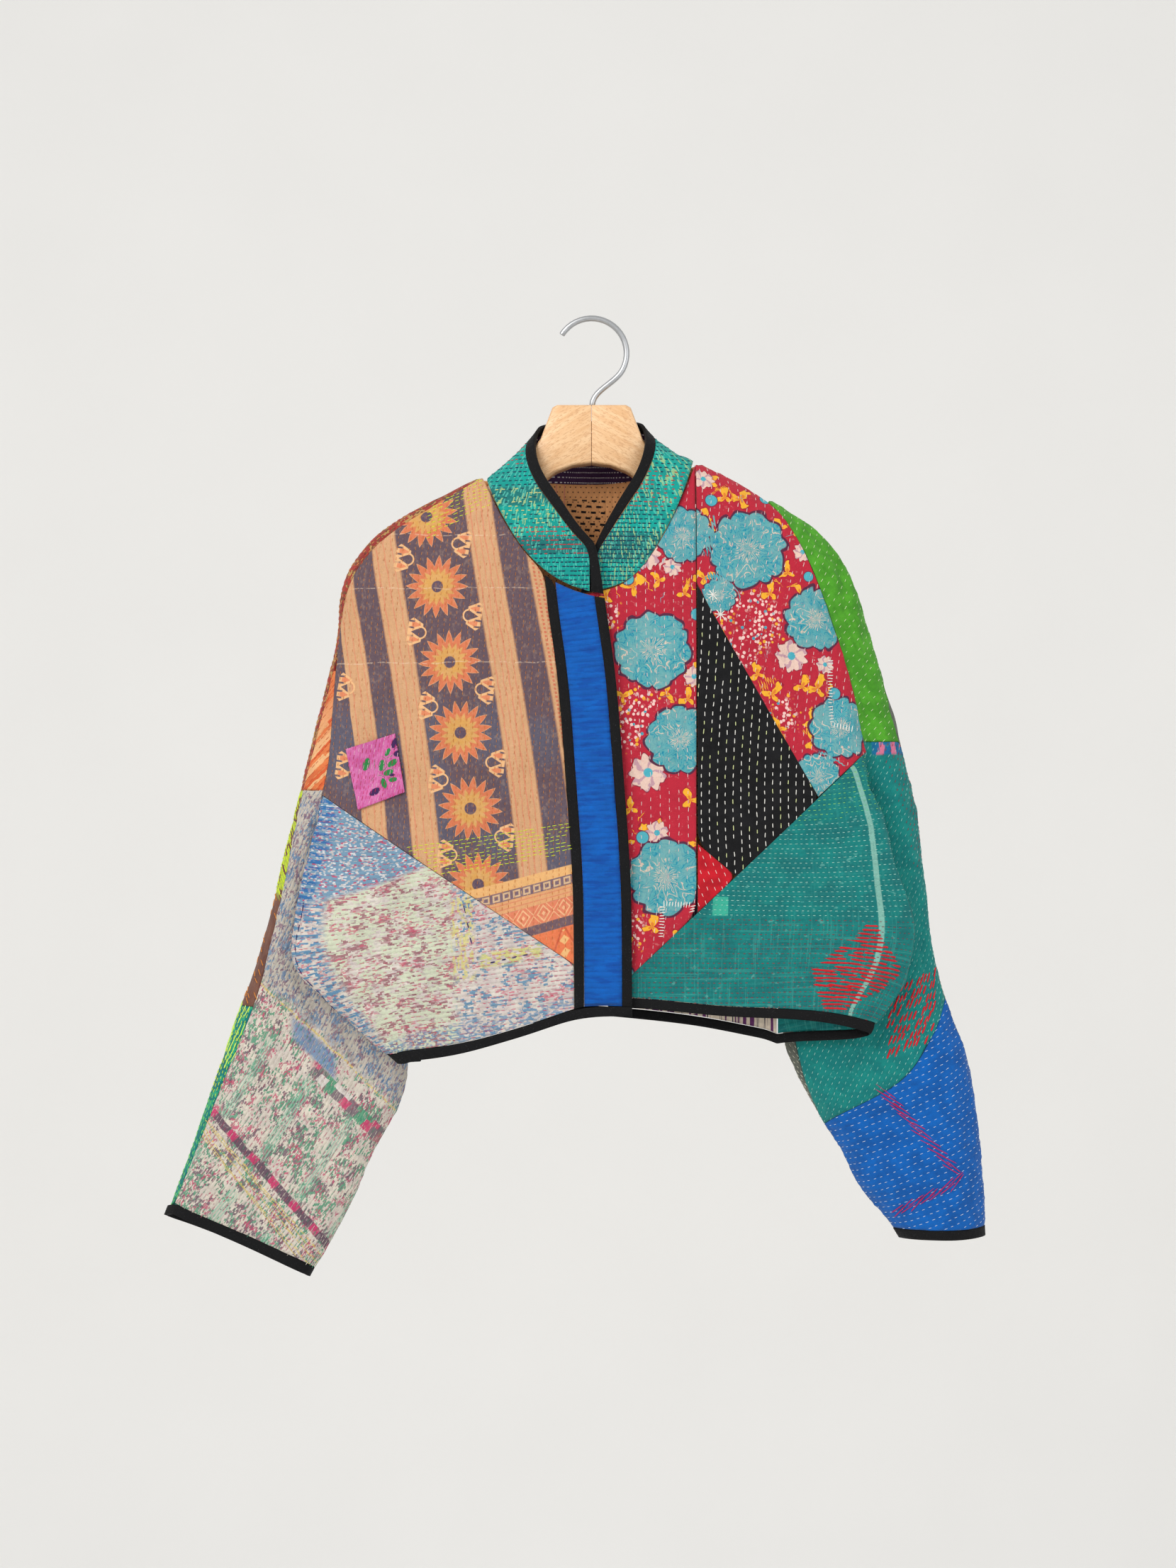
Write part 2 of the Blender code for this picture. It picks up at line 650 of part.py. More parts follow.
def crossing(side, column, line, top=-125.0, bottom=-625.0):
    """Height where a column meets a line given as a function of the distance across."""
    heights = np.linspace(top, bottom, 101)
    gaps = [h - line(across_of(side, column, h)) for h in heights]
    for place in range(100):
        if gaps[place] >= 0 > gaps[place + 1]:
            share = gaps[place] / (gaps[place] - gaps[place + 1])
            return heights[place] + share * (heights[place + 1] - heights[place])
    return bottom if gaps[0] >= 0 else top


def straight(ends):
    """Line through two (distance, height) points as a function."""
    (x0, z0), (x1, z1) = ends
    return lambda out: z0 + (out - x0) * (z1 - z0) / (x1 - x0)


def wall_normals(points):
    """Unit normals of a grid of points."""
    along = np.gradient(points, axis=0)
    down = np.gradient(points, axis=1)
    normals = np.cross(along, down)
    return normals / np.maximum(np.linalg.norm(normals, axis=2, keepdims=True), 1e-9)


def even_rows(top, bottom, count):
    """Heights spread evenly from top to bottom."""
    return [top + (bottom - top) * row / count for row in range(count + 1)]


def shared_rows(side, top, bottom):
    """Heights from top to bottom that neighbouring pieces of a side share."""
    levels = []
    above = ROW_STOPS[side][0][0]
    for stop, count in ROW_STOPS[side]:
        if count:
            levels += even_rows(above, stop, count)[1:]
        above = stop
    inside = [level for level in levels if bottom + 3.0 < level < top - 3.0]
    return [top] + inside + [bottom]


def fit_rows(rows, top, bottom):
    """The same rows spread between another top and bottom."""
    scale = (bottom - top) / (rows[-1] - rows[0])
    return [top + (row - rows[0]) * scale for row in rows]


def sheet_grid(side, columns, heights):
    """Points and normals of a sheet, from a column and a list of heights for each."""
    points = np.zeros((len(columns), len(heights[0]), 3))
    normals = np.zeros_like(points)
    for i, column in enumerate(columns):
        for j, height in enumerate(heights[i]):
            curve, length = column(section(side, height))
            ahead = curve_point(curve, length + NORMAL_STEP)
            behind = curve_point(curve, length - NORMAL_STEP)
            tangent = np.array([side * (ahead[0] - behind[0]), ahead[1] - behind[1], 0.0])
            above, below = height + FALL_STEP, height - FALL_STEP
            if height < UNDERARM[side]:
                above = min(above, UNDERARM[side] - 0.01)
            else:
                below = max(below, UNDERARM[side])
            fall = column_point(side, column, below) - column_point(side, column, above)
            normal = np.cross(tangent, fall) * side
            points[i, j] = column_point(side, column, height)
            normals[i, j] = normal / max(np.linalg.norm(normal), 1e-9)
    return points, normals


def material(name):
    """A Principled material, made once."""
    found = bpy.data.materials.get(name)
    if found:
        return found
    made = bpy.data.materials.new(name)
    made.use_nodes = True
    shader = made.node_tree.nodes["Principled BSDF"]
    shader.inputs["Base Color"].default_value = (*COLOURS[name], 1.0)
    shader.inputs["Roughness"].default_value = 0.35 if name in METALS else 0.85
    shader.inputs["Metallic"].default_value = 1.0 if name in METALS else 0.0
    return made


def add_mesh(name, vertices, faces, slot, collection):
    """An object from vertices in millimetres and faces, with its faces turned out."""
    mesh = bpy.data.meshes.new(name)
    mesh.from_pydata([[value * MM for value in vertex] for vertex in vertices], [], faces)
    work = bmesh.new()
    work.from_mesh(mesh)
    bmesh.ops.recalc_face_normals(work, faces=work.faces)
    work.to_mesh(mesh)
    work.free()
    made = bpy.data.objects.new(name, mesh)
    made.data.materials.append(material(slot))
    collection.objects.link(made)
    mesh.shade_smooth()
    mesh.set_sharp_from_angle(angle=math.radians(40))
    return made


def add_wall(name, points, normals, thickness, slot, collection):
    """A wall of even thickness round a grid of middle points."""
    across, down = points.shape[:2]
    outer = points + normals * thickness / 2
    inner = points - normals * thickness / 2
    vertices = np.concatenate([outer.reshape(-1, 3), inner.reshape(-1, 3)])
    layer = across * down

    def spot(i, j, back):
        return i * down + j + back * layer

    faces = []
    for i in range(across - 1):
        for j in range(down - 1):
            for back in (0, 1):
                a, b = spot(i, j, back), spot(i + 1, j, back)
                c, d = spot(i + 1, j + 1, back), spot(i, j + 1, back)
                faces += [(a, b, c), (a, c, d)]
        for j in (0, down - 1):
            faces.append((spot(i, j, 0), spot(i + 1, j, 0), spot(i + 1, j, 1), spot(i, j, 1)))
    for i in (0, across - 1):
        for j in range(down - 1):
            faces.append((spot(i, j, 0), spot(i, j + 1, 0), spot(i, j + 1, 1), spot(i, j, 1)))
    return add_mesh(name, vertices.tolist(), faces, slot, collection)


def add_sheet(name, side, columns, heights, slot, collection, thickness=CLOTH):
    """A cloth piece of one side."""
    points, normals = sheet_grid(side, columns, heights)
    return add_wall(name, points, normals, thickness, slot, collection)


def rows_between(tops, bottoms, count):
    """Even rows for each column."""
    return [even_rows(top, bottom, count) for top, bottom in zip(tops, bottoms)]


def rows_like(rows, tops, bottoms):
    """The rows of one column, fitted to each."""
    return [fit_rows(rows, top, bottom) for top, bottom in zip(tops, bottoms)]


def spread(first, last, count):
    """Even shares from first to last."""
    return [first + (last - first) * place / count for place in range(count + 1)]


def neck_height(side, out):
    """Height of the front neck seam."""
    return line_value(NECK[side], out)


def hem_height(side, column):
    """Height of the front hem's lower edge at a column of the front."""
    return crossing(side, column, lambda out: line_value(FRONT_HEM[side], out), -480.0, -640.0)


def build_right_front(collection):
    """The wearer's right front: placket, its bindings, the sun panel and the lower panel.

    Gives the hem's columns and heights.
    """
    side = -1
    lap = [(0.0, BINDING_WIDTH, BINDING, "front_edge_binding", "binding_cotton", 1),
           (BINDING_WIDTH + SEAM_GAP, PLACKET_WIDTH - BINDING_WIDTH - SEAM_GAP, CLOTH, "placket",
            "blue_cotton", 2),
           (PLACKET_WIDTH - BINDING_WIDTH, PLACKET_WIDTH, BINDING, "placket_binding",
            "binding_cotton", 1)]
    for first, last, wall, name, slot, count in lap:
        columns = [front_strip(length) for length in spread(first, last, count)]
        tops = [crossing(side, c, lambda out: neck_height(side, out)) - PLACKET_DROP
                for c in columns]
        bottoms = [hem_height(side, c) + BINDING_WIDTH + BINDING_GAP for c in columns]
        add_sheet(name, side, columns, rows_between(tops, bottoms, 18), slot, collection, wall)

    start = PLACKET_WIDTH + SEAM_GAP
    seam = straight(LOWER_SEAM[side])
    near = [front_share(start, share) for share in spread(0, 1, 4)]
    far = [side_share(share) for share in (0.18, 0.36, 0.54, 0.7, 0.82, 0.92, 1.0)]
    columns = near + far
    tops = neck_tops(side, near, len(far))
    bottoms = [crossing(side, c, seam) + SEAM_GAP / 2 for c in columns]
    rows = shared_rows(side, tops[-1], bottoms[-1])
    add_sheet("front_right_upper", side, columns, rows_like(rows, tops, bottoms), "sun_cotton",
              collection)

    middle = [wing_share(share) for share in (0.18, 0.36, 0.54, 0.7, 0.85)]
    tuck = [tuck_share(share) for share in (0.0, 0.12, 0.24, 0.38, 0.55, 0.75, 0.88, 0.95, 1.0)]
    columns = near + middle + tuck
    tops = [crossing(side, c, seam) - SEAM_GAP for c in columns]
    hems = [hem_height(side, c) for c in near + middle]
    hems += [CORNER_HEM[side]] * len(tuck)
    bottoms = [hem + BINDING_WIDTH + BINDING_GAP for hem in hems]
    add_sheet("front_right_lower", side, columns, lower_rows(side, tops, bottoms, len(tuck)),
              "pale_cotton", collection)

    columns = [front_strip(length) for length in (0.0, PLACKET_WIDTH / 2)] + columns
    return columns, [hem_height(side, c) for c in columns[:2]] + hems


def lower_rows(side, tops, bottoms, tucked):
    """Rows of a lower front: those in the tuck lie at the heights that the sleeve shares."""
    rows = shared_rows(side, tops[-1], bottoms[-1])
    flat = rows_like(rows, tops[:-tucked], bottoms[:-tucked])
    return flat + [[top] + rows[1:-1] + [bottom]
                   for top, bottom in zip(tops[-tucked:], bottoms[-tucked:])]


def neck_tops(side, near, others):
    """Upper ends of a front's columns: the neck seam, then the neck point for the others."""
    tops = [crossing(side, c, lambda out: neck_height(side, out)) - 0.4 for c in near[:-1]]
    return tops + [NECK_POINT[side][1] - NECK_DROP] * (1 + others)


def across_column(out):
    """A column of the front at a fixed distance across."""
    return lambda part: (part.body, part.body.length_at(out, 0, 4))


def build_left_front(collection):
    """The wearer's left front: floral panels, black inset and lower panel.

    Gives the hem's columns and heights.
    """
    side = 1
    seam = straight(LOWER_SEAM[side])
    near = [front_share(0.0, share) for share in spread(0, 1, 5)]
    gap = SEAM_GAP / 2

    tops = neck_tops(side, near, 0)
    bottoms = [crossing(side, c, seam) + gap for c in near]
    add_sheet("front_left_inner", side, near, rows_between(tops, bottoms, 16), "red_cotton",
              collection)

    def right_of_neck(share):
        inner = side_share(share)

        def column(part):
            curve, length = inner(part)
            return curve, length + 3 * SEAM_GAP * (1 - share)
        return column

    def beside_inset(part):
        return side_share(np.interp(part.height, TIP_HEIGHTS, TIP_SHARES))(part)

    far = [right_of_neck(share) for share in (0.0, 0.2, 0.4, 0.5)] + [beside_inset]
    far += [side_share(share) for share in (0.72, 0.79, 0.86, 0.94, 1.0)]
    inset_edge = straight((INSET_TOP, INSET_RIGHT))

    def outer_bottom(out):
        return max(inset_edge(out), seam(out))

    tops = [NECK_POINT[side][1] - NECK_DROP] * len(far)
    bottoms = [crossing(side, c, outer_bottom) + gap for c in far]
    rows = shared_rows(side, tops[-1], bottoms[-1])
    add_sheet("front_left_outer", side, far, rows_like(rows, tops, bottoms), "red_cotton",
              collection)

    inset_low = straight((INSET_LEFT, INSET_LOW))

    def inset_bottom(out):
        return max(inset_low(out), seam(out))

    low_share = (INSET_LOW[0] - INSET_LEFT[0]) / (INSET_RIGHT[0] - INSET_LEFT[0])
    start = INSET_TOP[0] + SEAM_GAP
    reach = INSET_RIGHT[0] - start
    outs = [start + share * reach for share in (0, 0.5 * low_share, low_share, 0.5, 0.66, 0.82,
                                                0.98)]
    inset = [across_column(out) for out in outs]
    tops = [inset_edge(out) - 2 * gap for out in outs]
    bottoms = [inset_bottom(out) + gap for out in outs]
    add_sheet("front_left_inset", side, inset, rows_between(tops, bottoms, 12), "black_cotton",
              collection)

    outs = [start + share * (INSET_LOW[0] - start) for share in (0.0, 0.5, 0.9)]
    gore = [across_column(out) for out in outs]
    tops = [inset_low(out) - gap for out in outs]
    bottoms = [seam(out) + gap for out in outs]
    add_sheet("front_left_gore", side, gore, rows_between(tops, bottoms, 3), "red_cotton",
              collection)

    middle = [wing_share(share) for share in (0.17, 0.34, 0.5, 0.66, 0.82)]
    tuck = [tuck_share(share) for share in (0.0, 0.1, 0.2, 0.34, 0.52, 0.74, 0.88, 0.95, 1.0)]
    columns = near + middle + tuck
    tops = [crossing(side, c, seam) - 2 * gap for c in columns]
    hems = [hem_height(side, c) for c in near + middle]
    hems += list(np.interp(range(len(tuck)), (0, 3, len(tuck) - 1),
                           (FRONT_HEM[side][-1][1], -606.0, CORNER_HEM[side])))
    bottoms = [hem + BINDING_WIDTH + BINDING_GAP for hem in hems]
    add_sheet("front_left_lower", side, columns, lower_rows(side, tops, bottoms, len(tuck)),
              "teal_cotton", collection)
    return columns, hems


def back_neck_height(side, out):
    """Height of the back neck seam."""
    point = NECK_POINT[side]
    share = min(out / point[0], 1.0)
    return BACK_NECK_MIDDLE + (point[1] - NECK_DROP - BACK_NECK_MIDDLE) * share ** 2


def back_hem_height(side, column):
    """Height of the back hem's lower edge at a column."""
    return crossing(side, column, lambda out: line_value(BACK_HEM[side], out), -560.0, -640.0)


def build_back(collection, front_hems):
    """The back in one piece, and the hem binding that runs all round."""
    backs, hem_strips = [], []
    for side in (-1, 1):
        outer = [back_share(share) for share in (0.0, 0.12, 0.28, 0.46, 0.64, 0.82)]
        inner = [back_middle_share(share) for share in spread(0, 1, 4)]
        columns = outer + inner
        tops = [NECK_POINT[side][1] - NECK_DROP] * len(outer)
        tops += [crossing(side, c, lambda out: back_neck_height(side, out), -118.0, -160.0)
                 for c in inner]
        hems = [CORNER_HEM[side]] + [back_hem_height(side, c) for c in columns[1:]]
        bottoms = [hem + BINDING_WIDTH + BINDING_GAP for hem in hems]
        rows = shared_rows(side, tops[0], bottoms[0])
        backs.append(sheet_grid(side, columns, rows_like(rows, tops, bottoms)))
        columns = front_hems[side][0] + columns
        hems = front_hems[side][1] + hems
        tops = [hem + BINDING_WIDTH for hem in hems]
        hem_strips.append(sheet_grid(side, columns, rows_between(tops, hems, 1)))
    for name, (right, left), wall, slot in (("back", backs, CLOTH, "tan_cotton"),
                                            ("hem_binding", hem_strips, BINDING,
                                             "binding_cotton")):
        points = np.concatenate([right[0], left[0][-2::-1]])
        normals = np.concatenate([right[1], left[1][-2::-1]])
        add_wall(name, points, normals, wall, slot, collection)


def cuff_height(side, share):
    """Height of the cuff's lower edge, by the share across the sleeve."""
    return line_value(CUFF[side], share)


def build_right_sleeve(collection):
    """The wearer's right sleeve: cap, front, three back pieces and the cuff binding."""
    side = -1
    gap = SEAM_GAP / 2
    front_shares = (0.0, 0.08, 0.2, 0.36, 0.52, 0.68, 0.84, 0.94, 1.0)
    back_shares = (0.0, 0.06, 0.13, 0.22, 0.36, 0.52, 0.68, 0.84, 0.94, 1.0)
    front = [sleeve_front_share(share) for share in front_shares]
    back = [sleeve_back_share(share) for share in back_shares]
    seam = SLEEVE_SEAM[side]
    knee = KNEE[side]
    cap = [sleeve_front_share(share) for share in (0.0, 0.33, 0.66, 1.0)]
    rows = shared_rows(side, CAP_TOP - SEAM_GAP, seam + gap)
    add_sheet("sleeve_right_cap", side, cap, [rows] * len(cap), "rust_cotton", collection)
    cuffs = [cuff_height(side, share) for share in front_shares]
    rows = shared_rows(side, seam - gap, knee)
    heights = [rows + even_rows(knee, cuff + BINDING_WIDTH + BINDING_GAP, 2 * KNEE_ROWS)[1:]
               for cuff in cuffs]
    add_sheet("sleeve_right_front", side, front, heights, "pale_cotton", collection)
    rows = shared_rows(side, SLEEVE_TOP[side], seam + gap)
    add_sheet("sleeve_right_back_upper", side, back, [rows] * len(back), "rust_cotton",
              collection)
    rows = shared_rows(side, seam - gap, knee + gap)
    add_sheet("sleeve_right_back_middle", side, back, [rows] * len(back), "brown_cotton",
              collection)
    back_cuffs = [cuff_height(side, 1.0 - share) for share in back_shares]
    heights = [even_rows(knee - gap, cuff + BINDING_WIDTH + BINDING_GAP, 2 * KNEE_ROWS)
               for cuff in back_cuffs]
    add_sheet("sleeve_right_back_lower", side, back, heights, "teal_cotton", collection)
    columns = front[:-1] + back
    lows = cuffs[:-1] + back_cuffs
    tops = [low + BINDING_WIDTH for low in lows]
    add_sheet("cuff_binding_right", side, columns, rows_between(tops, lows, 1), "binding_cotton",
              collection, BINDING)


def build_left_sleeve(collection):
    """The wearer's left sleeve: cap, upper, lower, back and the cuff binding."""
    side = 1
    gap = SEAM_GAP / 2
    front_shares = (0.0, 0.08, 0.2, 0.34, 0.48, 0.62, 0.76, 0.88, 1.0)
    back_shares = (0.0, 0.08, 0.18, 0.3, 0.44, 0.58, 0.72, 0.86, 0.94, 1.0)
    front = [sleeve_front_share(share) for share in front_shares]
    back = [sleeve_back_share(share) for share in back_shares]
    seam = SLEEVE_SEAM[side]
    knee = KNEE[side]
    cap = [sleeve_front_share(share) for share in (0.0, 0.2, 0.4, 0.6, 0.8, 1.0)]
    rows = shared_rows(side, SLEEVE_TOP[side], seam + gap)
    add_sheet("sleeve_left_cap", side, cap, [rows] * len(cap), "green_cotton", collection)
    rows = shared_rows(side, seam - gap, knee)
    joins = [line_value(LOWER_SLEEVE_SEAM, share) for share in front_shares]
    heights = [rows + even_rows(knee, join + gap, KNEE_ROWS)[1:] for join in joins]
    add_sheet("sleeve_left_upper", side, front, heights, "teal_cotton", collection)
    cuffs = [cuff_height(side, share) + BINDING_WIDTH + BINDING_GAP for share in front_shares]
    heights = [even_rows(join - gap, cuff, JOIN_ROWS) for join, cuff in zip(joins, cuffs)]
    add_sheet("sleeve_left_lower", side, front, heights, "blue_cotton", collection)
    rows = shared_rows(side, SLEEVE_TOP[side], knee)
    heights = []
    for share in back_shares:
        join = joins[-1] + share * (joins[0] - joins[-1])
        cuff = cuff_height(side, 1.0 - share) + BINDING_WIDTH + BINDING_GAP
        heights.append(rows + even_rows(knee, join, KNEE_ROWS)[1:]
                       + even_rows(join, cuff, JOIN_ROWS)[1:])
    add_sheet("sleeve_left_back", side, back, heights, "olive_cotton", collection)
    columns = front[:-1] + back
    shares = list(front_shares[:-1]) + [1.0 - share for share in back_shares]
    lows = [cuff_height(side, share) for share in shares]
    tops = [low + BINDING_WIDTH for low in lows]
    add_sheet("cuff_binding_left", side, columns, rows_between(tops, lows, 1), "binding_cotton",
              collection, BINDING)


def front_point(side, out, height):
    """Point of the front cloth at a distance across and a height."""
    return column_point(side, lambda p: (p.body, p.body.length_at(out, 0, 4)), height)


def back_neck_point(side, out, height):
    """Point of the back cloth at a distance across and a height."""
    return column_point(side, lambda p: (p.body, p.body.length_at(out, 4, 7)), height)


def neck_path(side):
    """The neck seam of one side, from the front end to the middle of the back."""
    out, height = NECK_POINT[side]
    first = NECK[side][0][0]
    stops = []
    for share in spread(0.0, 0.93, 8):
        across = first + share * (out - first)
        stops.append(front_point(side, across, neck_height(side, across)))
    stops.append(np.array([side * (out + 0.5), 0.0, height - 0.5]))
    for share in (0.88, 0.66, 0.33, 0.0):
        stops.append(back_neck_point(side, out * share, back_neck_height(side, out * share)))
    return np.array(stops)


def smooth_path(stops, wanted):
    """Points at given shares of the length of a smooth path through the stops."""
    lengths = np.concatenate([[0.0], np.cumsum(np.linalg.norm(np.diff(stops, axis=0), axis=1))])
    return np.array([[smooth_value(share * lengths[-1], lengths, stops[:, axis])
                      for axis in range(3)] for share in wanted])


def build_collar(collection):
    """The stand collar, and the binding on its front end and its top edge."""
    shares = [0.0, 0.04, 0.0425, 0.046] + spread(0.1, 1.0, 15)
    feet, tops = [], []
    for side in (-1, 1):
        top = np.array([(side * out, depth, height) for out, depth, height in COLLAR_TOP[side]])
        feet.append(smooth_path(neck_path(side), shares))
        tops.append(smooth_path(top, shares))
    foot = np.concatenate([feet[0], feet[1][-2::-1]])
    top = np.concatenate([tops[0], tops[1][-2::-1]])
    rise = top - foot
    heights = np.linalg.norm(rise, axis=1)
    upward = rise / heights[:, None]
    half = COLLAR_BINDING / 2
    last = len(foot) - 1
    panel = range(3, last - 2)
    edge = [place for place in range(last + 1) if place not in (3, last - 3)]
    ends = (0, 1, last - 1, last)
    gaps = [line_value(COLLAR_FOOT, share) for share in shares]
    foot_line = np.array(gaps + gaps[-2::-1])
    below = heights - half - BINDING_GAP
    edge_foot = np.where(np.isin(np.arange(last + 1), ends), foot_line, heights - half)
    pieces = (
        ("collar", panel, foot_line, below, 3, CLOTH, "collar_cotton"),
        ("collar_binding", edge, edge_foot, heights + half, 1, BINDING, "binding_cotton"),
    )
    for name, places, low, high, rows, wall, slot in pieces:
        grid = np.array([[foot[i] + upward[i] * (high[i] + (low[i] - high[i]) * j / rows)
                          for j in range(rows + 1)] for i in places])
        add_wall(name, grid, wall_normals(grid), wall, slot, collection)


def build_patch(collection):
    """The stitched-on patch of the right front, on the panel's own points moved out."""
    count = 4
    corners = np.array(PATCH_CORNERS)
    grid = np.zeros((count + 1, count + 1, 3))
    for i in range(count + 1):
        for j in range(count + 1):
            u, v = i / count, j / count
            x, z = ((1 - u) * (1 - v) * corners[0] + u * (1 - v) * corners[1]
                    + u * v * corners[2] + (1 - u) * v * corners[3])
            grid[i, j] = front_point(-1, -x, z)
    normals = wall_normals(grid)
    if normals[0, 0, 1] > 0:
        normals = -normals
    lift = CLOTH / 2 + PATCH_WALL / 2 + 1.0
    add_wall("front_patch", grid + normals * lift, normals, PATCH_WALL, "pink_cotton", collection)


def build_hanger(collection):
    """Both halves of the wooden hanger, a loft of chamfered sections each."""
    for side, name in ((-1, "hanger_right"), (1, "hanger_left")):
        vertices, faces = [], []
        for row in HANGER:
            part = dict(zip(HANGER_COLUMNS, row))
            cut = part["chamfer"]
            ring = ((-part["half"] + cut, part["top"]), (part["half"] - cut, part["top"]),
                    (part["half"], part["top"] - cut), (part["half"], part["bottom"] + cut),
                    (part["half"] - cut, part["bottom"]), (-part["half"] + cut, part["bottom"]),
                    (-part["half"], part["bottom"] + cut), (-part["half"], part["top"] - cut))
            vertices += [(side * part["out"], y, z) for y, z in ring]
        size = len(ring)
        for i in range(len(HANGER) - 1):
            for j in range(size):
                a, b = i * size + j, i * size + (j + 1) % size
                faces += [(a, b, b + size), (a, b + size, a + size)]
        faces.append(tuple(range(size)))
        faces.append(tuple(range(len(vertices) - size, len(vertices))))
        add_mesh(name, vertices, faces, "beech", collection)


def build_hook(collection):
    """The hook: one bent wire from its tip over the peg and down into the wood."""
    centre = np.array((0.0, -HOOK_BEND + HOOK_WIRE))
    route = []
    turns = 22
    for step in range(turns + 1):
        angle = math.radians(HOOK_TIP_ANGLE + (HOOK_END_ANGLE - HOOK_TIP_ANGLE) * step / turns)
        route.append(centre + HOOK_BEND * np.array((math.cos(angle), math.sin(angle))))
    end = route[-1]
    heading = np.array((math.sin(math.radians(HOOK_END_ANGLE)),
                        -math.cos(math.radians(HOOK_END_ANGLE))))
    foot = np.array(HOOK_FOOT)
    reach = np.linalg.norm(foot - end)
    for step in range(1, 11):
        u = step / 10
        route.append((2 * u**3 - 3 * u**2 + 1) * end + (u**3 - 2 * u**2 + u) * heading * reach
                     + (3 * u**2 - 2 * u**3) * foot
                     + (u**3 - u**2) * np.array((0.0, -1.0)) * reach)
    curve = bpy.data.curves.new("hook", "CURVE")
    curve.dimensions = "3D"
    curve.bevel_depth = HOOK_WIRE * MM
    curve.bevel_resolution = 3
    curve.use_fill_caps = True
    spline = curve.splines.new("POLY")
    spline.points.add(len(route) - 1)
    for point, (x, z) in zip(spline.points, route):
        point.co = (x * MM, 0.0, z * MM, 1.0)
    curve.materials.append(material("satin_steel"))
    collection.objects.link(bpy.data.objects.new("hook", curve))


def main():
    """Build the whole jacket and its hanger."""
    clear_scene()
    collection = bpy.data.collections.new(COLLECTION)
    bpy.context.scene.collection.children.link(collection)
    front_hems = {-1: build_right_front(collection), 1: build_left_front(collection)}
    build_back(collection, front_hems)
    build_right_sleeve(collection)
    build_left_sleeve(collection)
    build_collar(collection)
    build_patch(collection)
    build_hanger(collection)
    build_hook(collection)


main()
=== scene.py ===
# %% [markdown]
# Kantha jacket on a wooden hanger
#
# A short boxy patchwork jacket, hand quilted in running stitch and bound in black, hangs on a wooden
# coat hanger. The CAD frame already holds the true shape of every cut piece. What is added here is what
# makes it cloth: finer curved surfaces, creases, printed and mottled colours, puckers, and thousands of
# small running stitches that lie on the surface as real thread.
#
# Lengths in this script are millimetres wherever a name or a comment doesn't say metres. Places on the
# cloth are given as (x, z) of the jacket's front, and each piece carries them in a map named cloth. A set
# of rows of stitches or ribs is given as its angle on the cloth in degrees and the gap between two rows.
# %%
import functools
import json
import math
import random

import bmesh
import bpy
import numpy as np
from mathutils import Matrix, Vector, kdtree, noise
from mathutils.bvhtree import BVHTree

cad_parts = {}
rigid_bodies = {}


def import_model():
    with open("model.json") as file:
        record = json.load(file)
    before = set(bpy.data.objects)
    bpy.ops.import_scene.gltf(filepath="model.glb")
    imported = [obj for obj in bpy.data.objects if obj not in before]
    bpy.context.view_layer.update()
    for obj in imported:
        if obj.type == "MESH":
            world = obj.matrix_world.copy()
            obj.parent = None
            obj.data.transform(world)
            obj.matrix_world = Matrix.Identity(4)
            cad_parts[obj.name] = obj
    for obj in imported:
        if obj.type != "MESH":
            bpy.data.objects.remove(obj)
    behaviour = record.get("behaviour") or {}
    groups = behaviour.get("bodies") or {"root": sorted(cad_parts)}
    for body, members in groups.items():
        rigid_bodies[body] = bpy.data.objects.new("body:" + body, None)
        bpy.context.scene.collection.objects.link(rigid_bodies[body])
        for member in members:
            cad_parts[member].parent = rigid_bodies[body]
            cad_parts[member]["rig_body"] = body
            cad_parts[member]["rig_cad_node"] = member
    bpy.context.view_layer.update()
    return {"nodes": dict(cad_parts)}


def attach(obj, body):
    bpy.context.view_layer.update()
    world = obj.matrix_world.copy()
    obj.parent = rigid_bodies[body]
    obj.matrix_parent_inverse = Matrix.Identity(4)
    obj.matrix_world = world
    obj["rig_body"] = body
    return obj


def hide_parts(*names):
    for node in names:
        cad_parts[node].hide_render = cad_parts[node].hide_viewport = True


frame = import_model()
NODES = frame["nodes"]
MM = 0.001
FRONT, BEHIND = (0, -1, 0), (0, 1, 0)  # the way a piece's outer face looks
ROUNDS = 3  # levels of subdivision on the pieces that face the camera
random.seed(11)
print("frame:", len(NODES), "nodes")


def linked(name, data):
    """A new object with this data, in the scene."""
    obj = bpy.data.objects.new(name, data)
    bpy.context.scene.collection.objects.link(obj)
    return obj


# %% [markdown]
# Camera and light
#
# The photograph looks straight at the front from about two and a half metres, with the hook's bend a
# little right of the middle of the picture. A lens of 65 mm at 2.4 m shows 995 by 1327 mm at the jacket,
# which is the photograph's 1659 by 2212 pixels at 0.6 mm each. The light is a wide soft window from the
# upper left with a weaker fill from the right, over an even room light, so the shadows stay soft.
# %%
VIEW_MID = Vector((-3.0, 0.0, -391.5)) * MM
VIEW_DISTANCE, FAR_END = 2.4, 30.0  # metres
LENS, FILM = 65.1, 36.0
camera = linked("camera", bpy.data.cameras.new("camera"))
camera.location = VIEW_MID + Vector((0, -VIEW_DISTANCE, 0))
camera.rotation_euler = (math.radians(90), 0, 0)
camera.data.lens, camera.data.sensor_width, camera.data.clip_end = LENS, FILM, FAR_END
bpy.context.scene.camera = camera


def soft_light(name, place, size, watts, colour):
    """A square area light at place, in metres, turned to the jacket's middle."""
    lamp = bpy.data.lights.new(name, "AREA")
    lamp.size, lamp.energy, lamp.color = size, watts, colour
    obj = linked(name, lamp)
    obj.location = place
    obj.rotation_euler = (VIEW_MID - Vector(place)).to_track_quat("-Z", "Y").to_euler()


